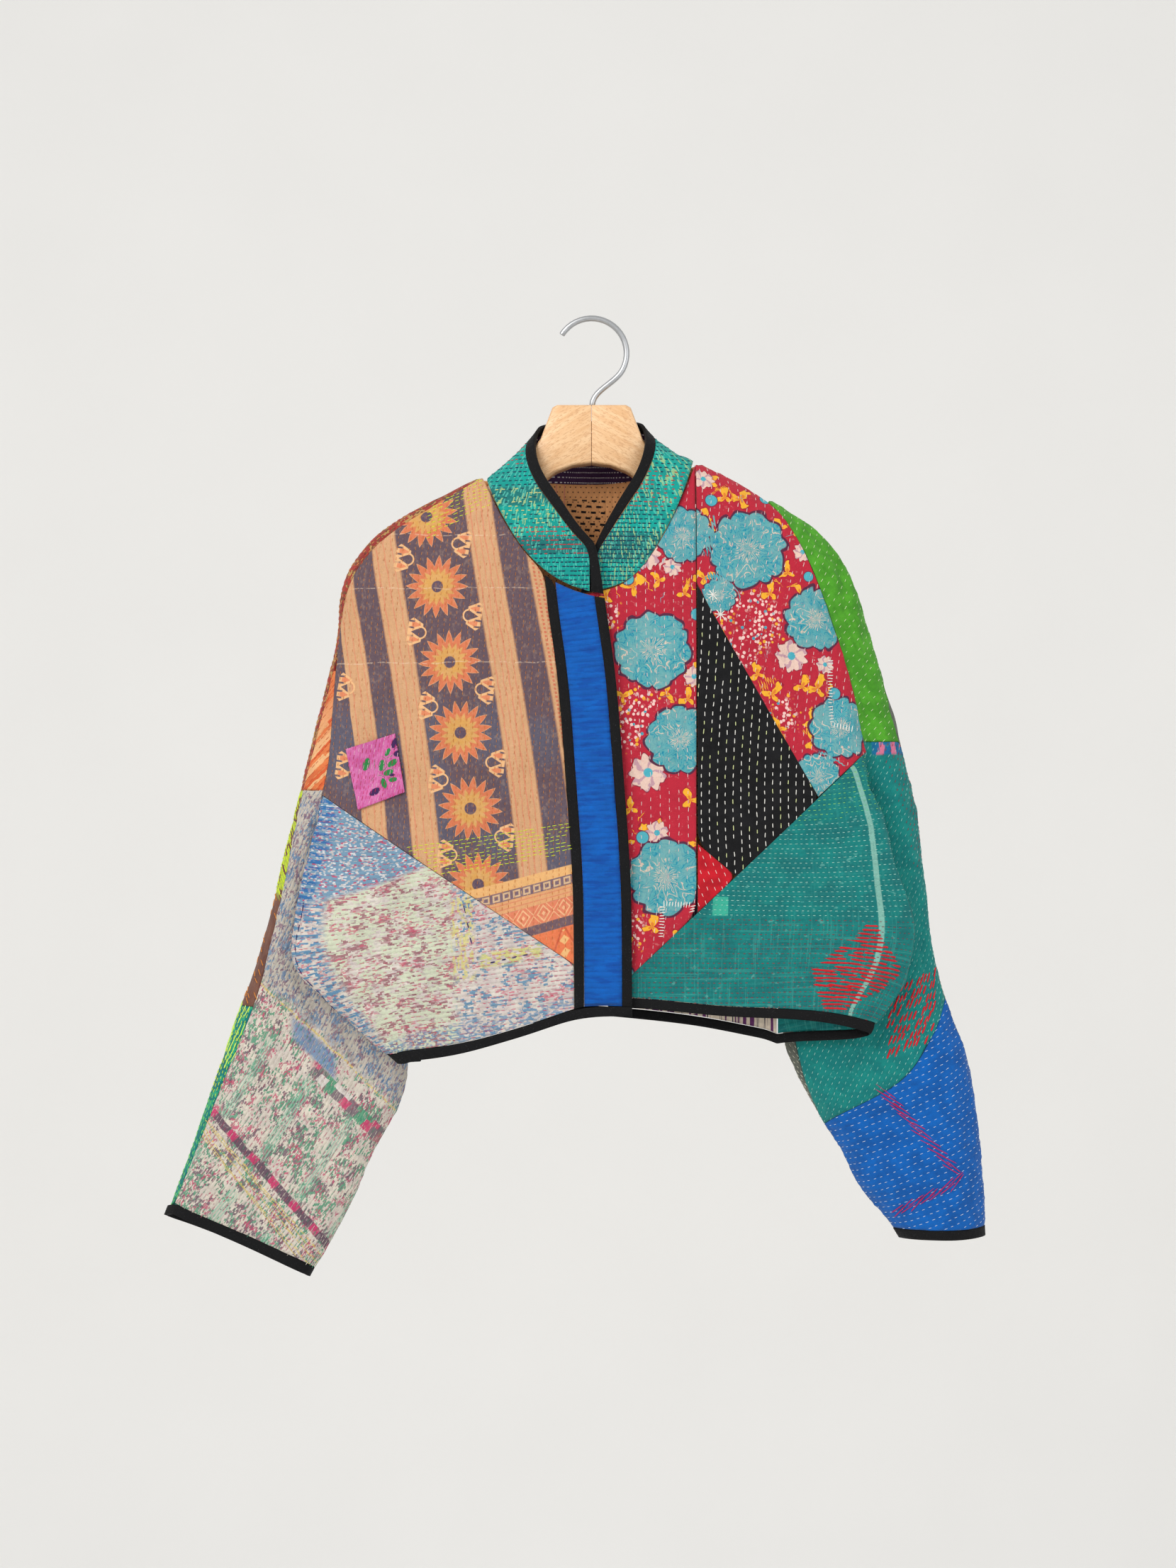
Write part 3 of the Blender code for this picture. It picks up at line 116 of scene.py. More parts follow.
soft_light("window", (-1.5, -2.0, 1.1), 1.6, 46, (1.0, 0.985, 0.96))
soft_light("fill", (1.9, -2.2, 0.1), 2.0, 18, (0.96, 0.98, 1.0))
world = bpy.data.worlds.new("room")
bpy.context.scene.world = world
world.use_nodes = True
room_light = world.node_tree.nodes["Background"]
room_light.inputs["Color"].default_value = (0.93, 0.93, 0.92, 1)
room_light.inputs["Strength"].default_value = 0.75
bpy.context.scene.view_settings.view_transform = "Standard"
print("camera and lights made")

# %% [markdown]
# A small language for materials
#
# Node materials are wordy. Two small classes shorten them. N wraps a number socket, so that sums and
# comparisons are written as plain arithmetic. Paint owns one material and reads the cloth map or the
# object's own place. It starts with a dye, lays one colour over another where a mask says so, and ends in
# a cotton finish with a bump height given in millimetres.
# %%


def linear(colour):
    """The scene-linear colour of an sRGB colour given from 0 to 255."""
    parts = [c / 255 for c in colour]
    return tuple(c / 12.92 if c <= 0.04045 else ((c + 0.055) / 1.055) ** 2.4 for c in parts) + (1.0,)


def put(tree, slot, value):
    """Links a socket to the slot, or keeps a plain value in it."""
    if isinstance(value, N):
        value = value.socket
    if isinstance(value, bpy.types.NodeSocket):
        tree.links.new(value, slot)
    else:
        slot.default_value = value


def new_node(tree, kind, settings=None, **values):
    """A node with its settings, and with values or links on the sockets that are named."""
    node = tree.nodes.new(kind)
    for key, value in (settings or {}).items():
        setattr(node, key, value)
    for key, value in values.items():
        put(tree, node.inputs[key.replace("_", " ")], value)
    return node


class N:
    """A number socket that can be used in arithmetic."""

    def __init__(self, tree, socket):
        self.tree, self.socket = tree, socket

    def op(self, kind, *rest, clamp=False):
        node = self.tree.nodes.new("ShaderNodeMath")
        node.operation, node.use_clamp = kind, clamp
        for slot, value in zip(node.inputs, (self, *rest)):
            put(self.tree, slot, value)
        return N(self.tree, node.outputs[0])

    def __add__(self, other):
        return self.op("ADD", other)

    def __sub__(self, other):
        return self.op("SUBTRACT", other)

    def __rsub__(self, other):
        return self.op("MULTIPLY_ADD", -1.0, other)

    def __mul__(self, other):
        return self.op("MULTIPLY", other)

    __radd__, __rmul__ = __add__, __mul__

    def above(self, edge, soft=0.4):
        """1 where this is over edge, with an edge soft wide."""
        return self.op("MULTIPLY_ADD", 1 / soft, 0.5 - edge / soft, clamp=True)

    def within(self, low, high, soft=0.4):
        return self.above(low, soft) * (1 - self.above(high, soft))

    def bands(self, pairs, soft=0.4):
        total = self.within(*pairs[0], soft)
        for low, high in pairs[1:]:
            total = total + self.within(low, high, soft)
        return total.op("MINIMUM", 1.0)

    def wave(self, pitch):
        """A sine from -1 to 1 that repeats every pitch."""
        return self.op("MULTIPLY", 2 * math.pi / pitch).op("SINE")

    def part(self, pitch, shift=0.0):
        """How far along its repeat this is, from 0 to 1."""
        return self.op("MULTIPLY_ADD", 1 / pitch, shift).op("FRACT")


class Paint:
    """One material, on its way from coordinates to a finished surface."""

    def __init__(self, name, on_cloth=True):
        self.material = bpy.data.materials.new(name)
        self.material.use_nodes = True
        self.tree = self.material.node_tree
        self.tree.nodes.clear()
        if on_cloth:
            self.place = self.node("ShaderNodeUVMap", {"uv_map": "cloth"}).outputs[0]
        else:
            where = self.node("ShaderNodeTexCoord").outputs["Object"]
            self.place = self.node("ShaderNodeVectorMath", {"operation": "SCALE"}, Vector=where, Scale=1 / MM)
            self.place = self.place.outputs[0]
        self.u, self.v, self.w = self.split(self.place)

    def node(self, kind, settings=None, **values):
        return new_node(self.tree, kind, settings, **values)

    def split(self, vector):
        return [N(self.tree, s) for s in self.node("ShaderNodeSeparateXYZ", Vector=vector).outputs]

    def attribute(self, name):
        """A number stored on the mesh."""
        return N(self.tree, self.node("ShaderNodeAttribute", {"attribute_name": name}).outputs["Fac"])

    def vector(self, name):
        return self.split(self.node("ShaderNodeAttribute", {"attribute_name": name}).outputs["Vector"])

    def noise(self, size, detail=2.0, stretch=(1, 1), seed=0.0):
        """Soft noise from 0 to 1 with lumps of about size, stretched along the two ways of the cloth."""
        where = self.node("ShaderNodeMapping", None, Vector=self.place,
                          Scale=(1 / stretch[0], 1 / stretch[1], 1),
                          Location=(seed * 37.0, seed * 71.0, seed * 13.0))
        made = self.node("ShaderNodeTexNoise", None, Vector=where.outputs[0], Scale=1 / size, Detail=detail)
        return N(self.tree, made.outputs["Fac"])

    def cells(self, size):
        """Distance to the nearest of many points about size apart, and a random number for each."""
        made = self.node("ShaderNodeTexVoronoi", None, Vector=self.place, Scale=1 / size)
        lot = self.node("ShaderNodeSeparateXYZ", None, Vector=made.outputs["Color"])
        return N(self.tree, made.outputs["Distance"]), N(self.tree, lot.outputs[0])

    def strokes(self, angle, length, height, seed=0.0, wander=1.8):
        """A random number from 0 to 1 that stays the same over each short stroke in rows at angle."""
        along, across = self.rows(angle)
        across = across + (self.noise(4.5, 1.0, seed=seed + 1.0) - 0.5) * wander
        row = across.op("DIVIDE", height).op("FLOOR")
        step = (along * (1 / length) + row * 0.381).op("FLOOR")
        where = self.node("ShaderNodeCombineXYZ", None, X=step, Y=row, Z=seed)
        made = self.node("ShaderNodeTexWhiteNoise", {"noise_dimensions": "3D"}, Vector=where.outputs[0])
        return N(self.tree, made.outputs["Value"])

    def mix(self, under, over, mask):
        """over laid on under where mask is 1. Either may be an sRGB colour."""
        node = self.node("ShaderNodeMix", {"data_type": "RGBA"})
        put(self.tree, node.inputs["Factor"], mask)
        for slot, value in ((node.inputs[6], under), (node.inputs[7], over)):
            put(self.tree, slot, linear(value) if isinstance(value, tuple) else value)
        return node.outputs[2]

    def dye(self, first, second, mask):
        """Starts the material's colour as two shades of one dye."""
        self.colour = self.mix(first, second, mask)

    def lay(self, ink, mask):
        """Lays one more colour over what is painted so far, where mask is 1."""
        self.colour = self.mix(self.colour, ink, mask)

    def rows(self, angle):
        """The distances along and across rows that run at angle degrees on the cloth."""
        c, s = math.cos(math.radians(angle)), math.sin(math.radians(angle))
        return self.u * c + self.v * s, self.v * c - self.u * s

    def dashes(self, angle, gap, pitch, length, width, wander=0.0):
        """A mask of short dashes in rows, each row half a step on from the last."""
        along, across = self.rows(angle)
        if wander:
            across = across + (self.noise(30, 1.0) - 0.5) * wander
        odd = (across.op("DIVIDE", gap).op("FLOOR") * 0.5).op("FRACT")
        step = (along * (1 / pitch) + odd).op("FRACT")
        off_row = (across.part(gap) - 0.5).op("ABSOLUTE") * gap
        on_dash = (step - 0.5).op("ABSOLUTE") * pitch
        return (1 - off_row.above(width / 2, 0.35)) * (1 - on_dash.above(length / 2, 0.4))

    def cotton(self, height, weave=0.035, roughness=0.86, sheen=0.12, mottle=0.16, speck=0.12):
        """Ends the material as washed cotton with this bump height in millimetres."""
        broad, fine = self.noise(26, 3.0, seed=3.0), self.noise(1.5, 2.0, seed=5.0)
        shade = 1.0 + (broad - 0.5) * (2 * mottle) + (fine - 0.5) * (2 * speck)
        shaded = self.node("ShaderNodeVectorMath", {"operation": "SCALE"}, Vector=self.colour, Scale=shade)
        threads = (self.u.wave(0.85) + self.v.wave(0.85)) * weave if weave else 0.0
        bump = self.node("ShaderNodeBump", None, Strength=1.0, Distance=MM, Height=height + threads)
        skin = self.node("ShaderNodeBsdfPrincipled", None, Base_Color=shaded.outputs[0],
                         Normal=bump.outputs[0], Roughness=(fine - 0.5) * 0.1 + roughness)
        for slot, value in (("Sheen Weight", sheen), ("Sheen Roughness", 0.45), ("Specular IOR Level", 0.25)):
            skin.inputs[slot].default_value = value
        self.tree.links.new(skin.outputs[0], self.node("ShaderNodeOutputMaterial").inputs[0])
        return self.material

    def puckers(self, angle, gap, depth=0.42, crinkle=0.5):
        """The height of cloth drawn in by rows of running stitch: soft ribs, broken up by crinkles."""
        across = self.rows(angle)[1] + (self.noise(14, 1.0, seed=8.0) - 0.5) * 1.2
        rib = (across * (math.pi / gap)).op("SINE").op("ABSOLUTE")
        lively = self.noise(9, 2.0, seed=2.0)
        fine = self.noise(3.2, 2.0, seed=4.0)
        return rib * (lively * (2 * depth)) + fine * crinkle + lively * (1.2 * crinkle)


# %% [markdown]
# From a CAD solid to fine cloth
#
# The CAD solid of a cut piece is a closed shell of four-sided cells about 12 mm wide. Its triangles are
# merged and joined back to four-sided cells, its sharp edges are kept as creases, and two or three rounds
# of subdivision make a smooth curved wall. The large face that points out of the jacket is told from the
# lining side by spreading over the cells without crossing a sharp edge. Each face is unwrapped without
# stretch and laid back over the jacket's front, so a place on the cloth reads as (x, z) in millimetres and
# goes on evenly round a fold. An alternative is to subdivide flat panels and drape them, but the wall
# already has the hanging shape that the photograph shows, so only small folds are added to it.
# %%
SHARP = math.radians(64)
OUTER, INNER, RIM = 0, 1, 2
OBJECTS, SEWN, FLATS = {}, {}, {}  # by node: the finished piece, its stitches, and its flat size


def regions_of(bm):
    """The number of the smooth region of each face, largest region first."""
    bm.faces.ensure_lookup_table()
    group, count = [-1] * len(bm.faces), 0
    for seed in bm.faces:
        if group[seed.index] >= 0:
            continue
        stack = [seed]
        group[seed.index] = count
        while stack:
            face = stack.pop()
            for edge in face.edges:
                if len(edge.link_faces) == 2 and edge.calc_face_angle(0) < SHARP:
                    for other in edge.link_faces:
                        if group[other.index] < 0:
                            group[other.index] = count
                            stack.append(other)
        count += 1
    areas = [0.0] * count
    for face in bm.faces:
        areas[group[face.index]] += face.calc_area()
    order = sorted(range(count), key=lambda g: -areas[g])
    rank = {g: i for i, g in enumerate(order)}
    return [rank[g] for g in group]


def coarse_copy(node):
    """A merged copy of a CAD node's mesh in metres, with its smooth regions and its sharp edges."""
    bm = bmesh.new()
    bm.from_mesh(node.data)
    for layer in list(bm.loops.layers.uv.values()):
        bm.loops.layers.uv.remove(layer)
    bmesh.ops.transform(bm, matrix=node.matrix_world, verts=bm.verts)
    bmesh.ops.remove_doubles(bm, verts=bm.verts, dist=1e-5)
    bmesh.ops.join_triangles(bm, faces=bm.faces, angle_face_threshold=math.radians(50),
                             angle_shape_threshold=math.radians(180))
    bmesh.ops.recalc_face_normals(bm, faces=bm.faces)
    return bm


def outer_first(bm, group, outward):
    """Turns region numbers into OUTER, INNER and RIM. outward is the direction the outer side faces."""
    facing = [0.0, 0.0]
    for face in bm.faces:
        if group[face.index] < 2:
            facing[group[face.index]] += face.normal.dot(outward) * face.calc_area()
    swap = facing[1] > facing[0]
    side = {0: INNER if swap else OUTER, 1: OUTER if swap else INNER}
    return [side.get(g, RIM) for g in group]


def face_area(faces):
    return sum(f.area for f in faces) / MM**2


def map_area(uv, faces):
    """The area that faces cover on the map."""
    total = 0.0
    for face in faces:
        x, y = uv[list(face.loop_indices)].T
        total += abs(x @ np.roll(y, -1) - y @ np.roll(x, -1)) / 2
    return total


def read(rows, key, count, kind=np.float32, width=1):
    """The numbers that mesh rows keep under key, as an array with width numbers a row."""
    values = np.empty(count * width, dtype=kind)
    rows.foreach_get(key, values)
    return values.reshape(-1, width).astype(float) if width > 1 else values


def unwrapped(me, side):
    """Gives the mesh a map named cloth, in millimetres, laid over the jacket's x and z."""
    obj = linked("unwrapping", me)
    bpy.context.view_layer.objects.active = obj
    obj.select_set(True)
    me.uv_layers.new(name="cloth")
    bpy.ops.object.mode_set(mode="EDIT")
    bpy.ops.mesh.select_all(action="SELECT")
    bpy.ops.uv.unwrap(method="MINIMUM_STRETCH", margin=0.001)
    bpy.ops.object.mode_set(mode="OBJECT")
    uv = read(me.uv_layers["cloth"].uv, "vector", len(me.loops), width=2)
    place = np.array([me.vertices[l.vertex_index].co for l in me.loops]) / MM
    for kind in (OUTER, INNER):
        faces = [p for p in me.polygons if side[p.index] == kind]
        loops = np.array([i for p in faces for i in p.loop_indices])
        facing = math.copysign(1, sum(p.normal.y * p.area for p in faces))
        straight = [p for p in faces if p.normal.y * facing > 0.8] or faces
        fit = np.array([i for p in straight for i in p.loop_indices])
        source, target = uv[fit], place[fit][:, [0, 2]]
        best = None
        scale = math.sqrt(face_area([me.polygons[p.index] for p in faces]) / map_area(uv, faces))
        for flip in (1, -1):
            a = (source - source.mean(0)) * (1, flip)
            b = target - target.mean(0)
            u, _, vt = np.linalg.svd(a.T @ b)
            turn = u @ np.diag([1, np.sign(np.linalg.det(u @ vt))]) @ vt
            error = ((a @ turn * scale - b) ** 2).sum()
            if best is None or error < best[0]:
                best = (error, flip, turn)
        error, flip, turn = best
        uv[loops] = ((uv[loops] - source.mean(0)) * (1, flip)) @ turn * scale + target.mean(0)
        worst = math.sqrt(error / len(fit))
        if worst > 6:
            print("  map of", me.name, ["outer", "inner"][kind], "strays", round(worst, 1), "mm")
    rim = np.array([i for p in me.polygons if side[p.index] == RIM for i in p.loop_indices])
    if len(rim):
        uv[rim] = place[rim][:, [0, 2]]
    me.uv_layers["cloth"].uv.foreach_set("vector", uv.reshape(-1).astype(np.float32))
    obj.select_set(False)
    bpy.data.objects.remove(obj)


def plain_mesh(obj, name):
    """The mesh that obj's modifiers make, as a plain mesh. The object itself is removed."""
    bpy.context.view_layer.update()
    made = bpy.data.meshes.new_from_object(obj.evaluated_get(bpy.context.evaluated_depsgraph_get()))
    made.name = name
    bpy.data.objects.remove(obj)
    return made


def subdivided(me, levels, name):
    """The mesh after some rounds of subdivision, as a plain mesh."""
    obj = linked("subdividing", me)
    smooth = obj.modifiers.new("smooth", "SUBSURF")
    smooth.levels = smooth.render_levels = levels
    smooth.uv_smooth = "PRESERVE_BOUNDARIES"
    return plain_mesh(obj, name)


def put_in_place(name, mesh, suffix, material):
    """Makes a finished object from a mesh, in place of the CAD node called name."""
    mesh.materials.clear()
    mesh.materials.append(material)
    obj = linked(name + suffix, mesh)
    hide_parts(name)
    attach(obj, "root")
    OBJECTS[name] = obj


def fine_mesh(name, outward, levels, mapped=True):
    """The fine closed mesh of one CAD node. Face attribute side says outer, inner or rim."""
    bm = coarse_copy(NODES[name])
    side = outer_first(bm, regions_of(bm), Vector(outward))
    crease = bm.edges.layers.float.new("crease_edge")
    corner = bm.verts.layers.float.new("crease_vert")
    for edge in bm.edges:
        if len({side[f.index] for f in edge.link_faces}) > 1 or edge.calc_face_angle(0) >= SHARP:
            edge[crease] = 1.0
        edge.seam = len({side[f.index] for f in edge.link_faces}) > 1
    for vert in bm.verts:
        hard = [e for e in vert.link_edges if e[crease]]
        if len(hard) >= 3:
            vert[corner] = 1.0
    me = bpy.data.meshes.new(name)
    bm.to_mesh(me)
    bm.free()
    me.polygons.foreach_set("use_smooth", [True] * len(me.polygons))
    if mapped:
        unwrapped(me, side)
    mark = me.attributes.new("side", "INT", "FACE")
    mark.data.foreach_set("value", side)
    return subdivided(me, levels, name + "_cloth")


class Cloth:
    """A fine piece of cloth with its points, its outward normals and its cloth map as arrays."""

    def __init__(self, name, outward, levels):
        self.name = name
        self.mesh = me = fine_mesh(name, outward, levels)
        points, loops, faces = len(me.vertices), len(me.loops), len(me.polygons)
        self.points = read(me.vertices, "co", points, width=3) / MM
        self.side = read(me.attributes["side"].data, "value", faces, np.int32)
        self.loop_uv = read(me.uv_layers["cloth"].uv, "vector", loops, width=2)
        self.loop_vertex = read(me.loops, "vertex_index", loops, np.int32)
        self.starts = read(me.polygons, "loop_start", faces, np.int32)
        self.totals = read(me.polygons, "loop_total", faces, np.int32)
        loop_side = np.repeat(self.side, self.totals)
        self.uv = np.zeros((points, 2))
        for kind in (RIM, INNER, OUTER):  # a point on an edge takes the outer face's place
            chosen = loop_side == kind
            self.uv[self.loop_vertex[chosen]] = self.loop_uv[chosen]
        self.normals = self.outward_normals()

    def outer_points(self):
        """The numbers of the points on the outer face."""
        return np.unique(self.loop_vertex[np.repeat(self.side == OUTER, self.totals)])

    def outer_loops(self):
        """The four loops of each face on the outer side."""
        faces = np.nonzero(self.side == OUTER)[0]
        return np.stack([self.starts[faces] + i for i in range(4)], 1)

    def outward_normals(self):
        """For each point, the normal of the nearest place on the outer face."""
        quads = self.loop_vertex[self.outer_loops()]
        a, b, c, d = (self.points[quads[:, i]] for i in range(4))
        face_normal = np.cross(c - a, d - b)
        total = np.zeros_like(self.points)
        for i in range(4):
            np.add.at(total, quads[:, i], face_normal)
        on_outer = np.nonzero(np.abs(total).sum(1) > 0)[0]
        total[on_outer] /= np.linalg.norm(total[on_outer], axis=1)[:, None]
        tree = kdtree.KDTree(len(on_outer))
        for i, v in enumerate(on_outer):
            tree.insert(self.points[v], i)
        tree.balance()
        known = np.zeros(len(self.points), dtype=bool)
        known[on_outer] = True
        for v in np.nonzero(~known)[0]:
            total[v] = total[on_outer[tree.find(self.points[v])[1]]]
        return total

    def push(self, amount):
        """Moves every point outward by amount, both faces of the wall together."""
        self.points += self.normals * np.asarray(amount)[:, None]

    def store(self, name, values):
        """Keeps one number, or one vector, for each point."""
        values = np.asarray(values, dtype=np.float32)
        flat = values.ndim == 1
        made = self.mesh.attributes.new(name, "FLOAT" if flat else "FLOAT_VECTOR", "POINT")
        made.data.foreach_set("value" if flat else "vector", values.reshape(-1))

    def flat_tree(self):
        """A search tree over the outer face laid flat by its cloth map, with the corners of each triangle."""
        loops = self.outer_loops()
        thirds = np.concatenate([loops[:, [0, 1, 2]], loops[:, [0, 2, 3]]])
        flat = [Vector((u, v, 0)) for u, v in self.loop_uv]
        return BVHTree.FromPolygons(flat, [list(map(int, t)) for t in thirds]), thirds

    def on_surface(self, places):
        """For places on the cloth map, the points in space, the normals and which places are on the piece."""
        tree, thirds = self.flat_tree()
        found, corners, weights = [], [], []
        for i, (u, v) in enumerate(places):
            hit = tree.ray_cast(Vector((u, v, 1)), Vector((0, 0, -1)))
            if hit[0] is None:
                continue
            a, b, c = (self.loop_uv[k] for k in thirds[hit[2]])
            area = (b[0] - a[0]) * (c[1] - a[1]) - (c[0] - a[0]) * (b[1] - a[1])
            if abs(area) < 1e-9:
                continue
            wb = ((u - a[0]) * (c[1] - a[1]) - (c[0] - a[0]) * (v - a[1])) / area
            wc = ((b[0] - a[0]) * (v - a[1]) - (u - a[0]) * (b[1] - a[1])) / area
            found.append(i)
            corners.append([self.loop_vertex[k] for k in thirds[hit[2]]])
            weights.append((1 - wb - wc, wb, wc))
        if not found:
            return np.zeros((0, 3)), np.zeros((0, 3)), np.zeros(0, dtype=int)
        corners, weights = np.array(corners), np.array(weights)[:, :, None]
        places, normals = ((known[corners] * weights).sum(1) for known in (self.points, self.normals))
        return places, normals, np.array(found)

    def finish(self, material):
        """Makes the finished object, in place of its CAD node."""
        self.mesh.vertices.foreach_set("co", (self.points * MM).astype(np.float32).reshape(-1))
        self.mesh.update()
        put_in_place(self.name, self.mesh, "_cloth", material)


# %% [markdown]
# Creases
#
# The real jacket hangs almost flat, so it has few folds: a long one down the left sleeve head, soft
# bends behind each elbow, some pull lines from the underarms, and slow waves in the body. Each is given
# as a line on the cloth with its own width and depth. A trough is a soft valley along the line that
# fades at both ends, and a ridge is the same with the sign turned. Every piece also gets a slow uneven
# swell of a few tenths of a millimetre, which keeps wide panels from looking like sheet metal.
# %%
CREASES = {
    # node: (x0, z0, x1, z1, half width, depth), a negative depth is a ridge
    "front_right_upper": [(-150, -190, -128, -330, 13, 1.4), (-60, -210, -48, -420, 16, -1.1),
                          (-190, -260, -205, -330, 9, 1.2), (-100, -420, -60, -500, 14, 1.2),
                          (-205, -345, -150, -392, 8, 1.3), (-30, -300, -34, -430, 10, 0.9)],
    "front_right_lower": [(-200, -430, -150, -520, 16, 1.5), (-120, -520, -60, -580, 14, -1.2),
                          (-238, -440, -246, -560, 8, 1.6), (-220, -590, -160, -560, 9, 1.4)],
    "front_left_inner": [(30, -250, 22, -420, 14, 1.0), (70, -200, 60, -300, 12, -0.8)],
    "front_left_outer": [(120, -160, 150, -260, 15, 1.0), (190, -200, 205, -330, 9, 1.5),
                         (214, -300, 170, -372, 8, 1.2)],
    "front_left_inset": [(105, -260, 120, -420, 14, 0.9)],
    "front_left_lower": [(243, -380, 262, -470, 8, 1.8), (150, -470, 60, -560, 17, 1.2),
                         (255, -500, 245, -575, 9, 1.6), (110, -560, 30, -585, 12, -1.0),
                         (225, -420, 170, -460, 10, 1.0)],
    "sleeve_left_cap": [(203, -185, 214, -315, 5, 2.4), (228, -215, 245, -330, 8, -1.2),
                        (196, -170, 190, -240, 5, 1.2)],
    "sleeve_left_upper": [(262, -450, 284, -545, 8, 2.0), (240, -400, 262, -470, 7, 1.6),
                          (286, -480, 296, -560, 7, -1.3), (236, -590, 290, -625, 9, 1.6),
                          (215, -640, 250, -600, 8, 1.1)],
    "sleeve_left_lower": [(236, -668, 266, -692, 5, 1.8), (240, -684, 262, -701, 3.5, 1.3),
                          (300, -620, 322, -700, 9, 1.2), (262, -730, 300, -752, 10, 1.1),
                          (228, -700, 246, -742, 7, 1.0)],
    "sleeve_right_front": [(-262, -505, -232, -640, 9, 2.2), (-286, -540, -262, -640, 8, 1.7),
                           (-232, -560, -205, -640, 7, 1.8), (-240, -450, -252, -530, 6, 1.6),
                           (-205, -610, -178, -640, 6, 1.5), (-300, -660, -262, -742, 12, 1.3),
                           (-215, -665, -196, -728, 8, 1.3), (-330, -700, -290, -772, 11, -1.0)],
    "back": [(-120, -200, -90, -480, 16, 1.2), (20, -170, 30, -420, 18, -1.0), (110, -200, 95, -500, 15, 1.1),
             (-40, -420, -60, -590, 14, 1.0), (170, -300, 150, -480, 11, 1.2),
             (-180, -280, -160, -470, 11, 1.2)],
    "sleeve_left_back": [(200, -250, 215, -400, 10, 1.5), (230, -440, 250, -560, 9, 1.7),
                         (240, -620, 280, -650, 7, 1.4), (280, -680, 300, -750, 9, 1.2)],
    "sleeve_right_back_lower": [(-250, -600, -230, -680, 9, 1.5), (-300, -680, -280, -760, 10, 1.2)],
    "sleeve_right_back_middle": [(-240, -420, -250, -540, 8, 1.6)],
    "sleeve_right_back_upper": [(-215, -230, -225, -360, 8, 1.4)],
}


def trough(uv, x0, z0, x1, z1, width, depth):
    """How far a crease moves each place: a soft valley that fades at its two ends."""
    a, b = np.array([x0, z0]), np.array([x1, z1])
    length = np.linalg.norm(b - a)
    along = (uv - a) @ (b - a) / length
    bow = np.sin(np.clip(along / length, 0, 1) * math.pi) * width * 0.6
    across = (uv - a) @ np.array([-(b - a)[1], (b - a)[0]]) / length - bow
    ends = np.clip(np.minimum(along, length - along) / (0.35 * length) + 0.35, 0, 1)
    ends = ends * ends * (3 - 2 * ends)
    valley, bank = (np.exp(-(((across - off * width) / width) ** 2)) for off in (0, 1.9))
    return -depth * ends * (valley - 0.45 * bank)


def swell(points, size, height, seed):
    """Slow uneven noise in space, so that neighbours on both sides of a seam move together."""
    shift = Vector((seed, 2.3 * seed, -1.7 * seed))
    return np.array([noise.noise(Vector(p) / size + shift) for p in points]) * height


def crumple(cloth, quilt=None):
    """Creases, slow swells and, where quilt gives an angle and a gap, soft ribs between rows of stitches."""
    near = np.zeros(len(cloth.points))
    for crease in CREASES.get(cloth.name, []):
        near += trough(cloth.uv, *crease)
    near += swell(cloth.points, 34, 0.9, 3.0) + swell(cloth.points, 13, 0.45, 9.0)
    if quilt:
        angle, gap = quilt
        turn = math.radians(angle)
        across = cloth.uv @ (-math.sin(turn), math.cos(turn))
        lively = 0.3 + np.clip(swell(cloth.points, 8, 1.2, 5.0), -0.25, 0.6)
        near += np.abs(np.sin(across * math.pi / gap)) * lively
    cloth.push(near)


# %% [markdown]
# Running stitches
#
# Kantha is sewn in rows of small running stitches right through all layers. Each visible stitch is a short
# thread that rises from the cloth, bends over and dives back. Rows are laid out on the cloth map, every
# stitch gets a little of its own in place, length and angle, and a Geometry Nodes group puts one bent
# thread on each. The group ends in plain mesh, so what is kept is real geometry with a colour per stitch.
# Painted dashes would be cheaper, but real threads catch the light and keep their relief close up.
# %%


def stitch_group(material):
    """The node group that bends one thread over every point of a mesh."""
    group = bpy.data.node_groups.new("running stitches", "GeometryNodeTree")
    group.interface.new_socket("Geometry", in_out="INPUT", socket_type="NodeSocketGeometry")
    thick = group.interface.new_socket("Thickness", in_out="INPUT", socket_type="NodeSocketFloat")
    thick.default_value = 0.5
    group.interface.new_socket("Geometry", in_out="OUTPUT", socket_type="NodeSocketGeometry")
    add = functools.partial(new_node, group)
    source, result = add("NodeGroupInput"), add("NodeGroupOutput")
    bend = add("GeometryNodeCurveQuadraticBezier", None, Resolution=3, Start=(-0.5, 0, -0.1),
               Middle=(0, 0, 0.26), End=(0.5, 0, -0.1))
    ring = add("GeometryNodeCurvePrimitiveCircle", None, Resolution=4, Radius=0.5)
    thread = add("GeometryNodeCurveToMesh", None, Curve=bend.outputs[0], Profile_Curve=ring.outputs[0],
                 Scale=source.outputs["Thickness"])
    round_off = add("GeometryNodeSetShadeSmooth", None, Geometry=thread.outputs[0])
    size = add("GeometryNodeInputNamedAttribute", {"data_type": "FLOAT_VECTOR"}, Name="stitch_size")
    turn = add("GeometryNodeInputNamedAttribute", {"data_type": "FLOAT_VECTOR"}, Name="stitch_turn")
    rotation = add("FunctionNodeEulerToRotation", None, Euler=turn.outputs["Attribute"])
    placed = add("GeometryNodeInstanceOnPoints", None, Points=source.outputs["Geometry"],
                 Instance=round_off.outputs[0], Rotation=rotation.outputs[0], Scale=size.outputs["Attribute"])
    real = add("GeometryNodeRealizeInstances", None, Geometry=placed.outputs[0])
    coated = add("GeometryNodeSetMaterial", None, Geometry=real.outputs[0], Material=material)
    group.links.new(coated.outputs[0], result.inputs[0])
    return group, thick.identifier


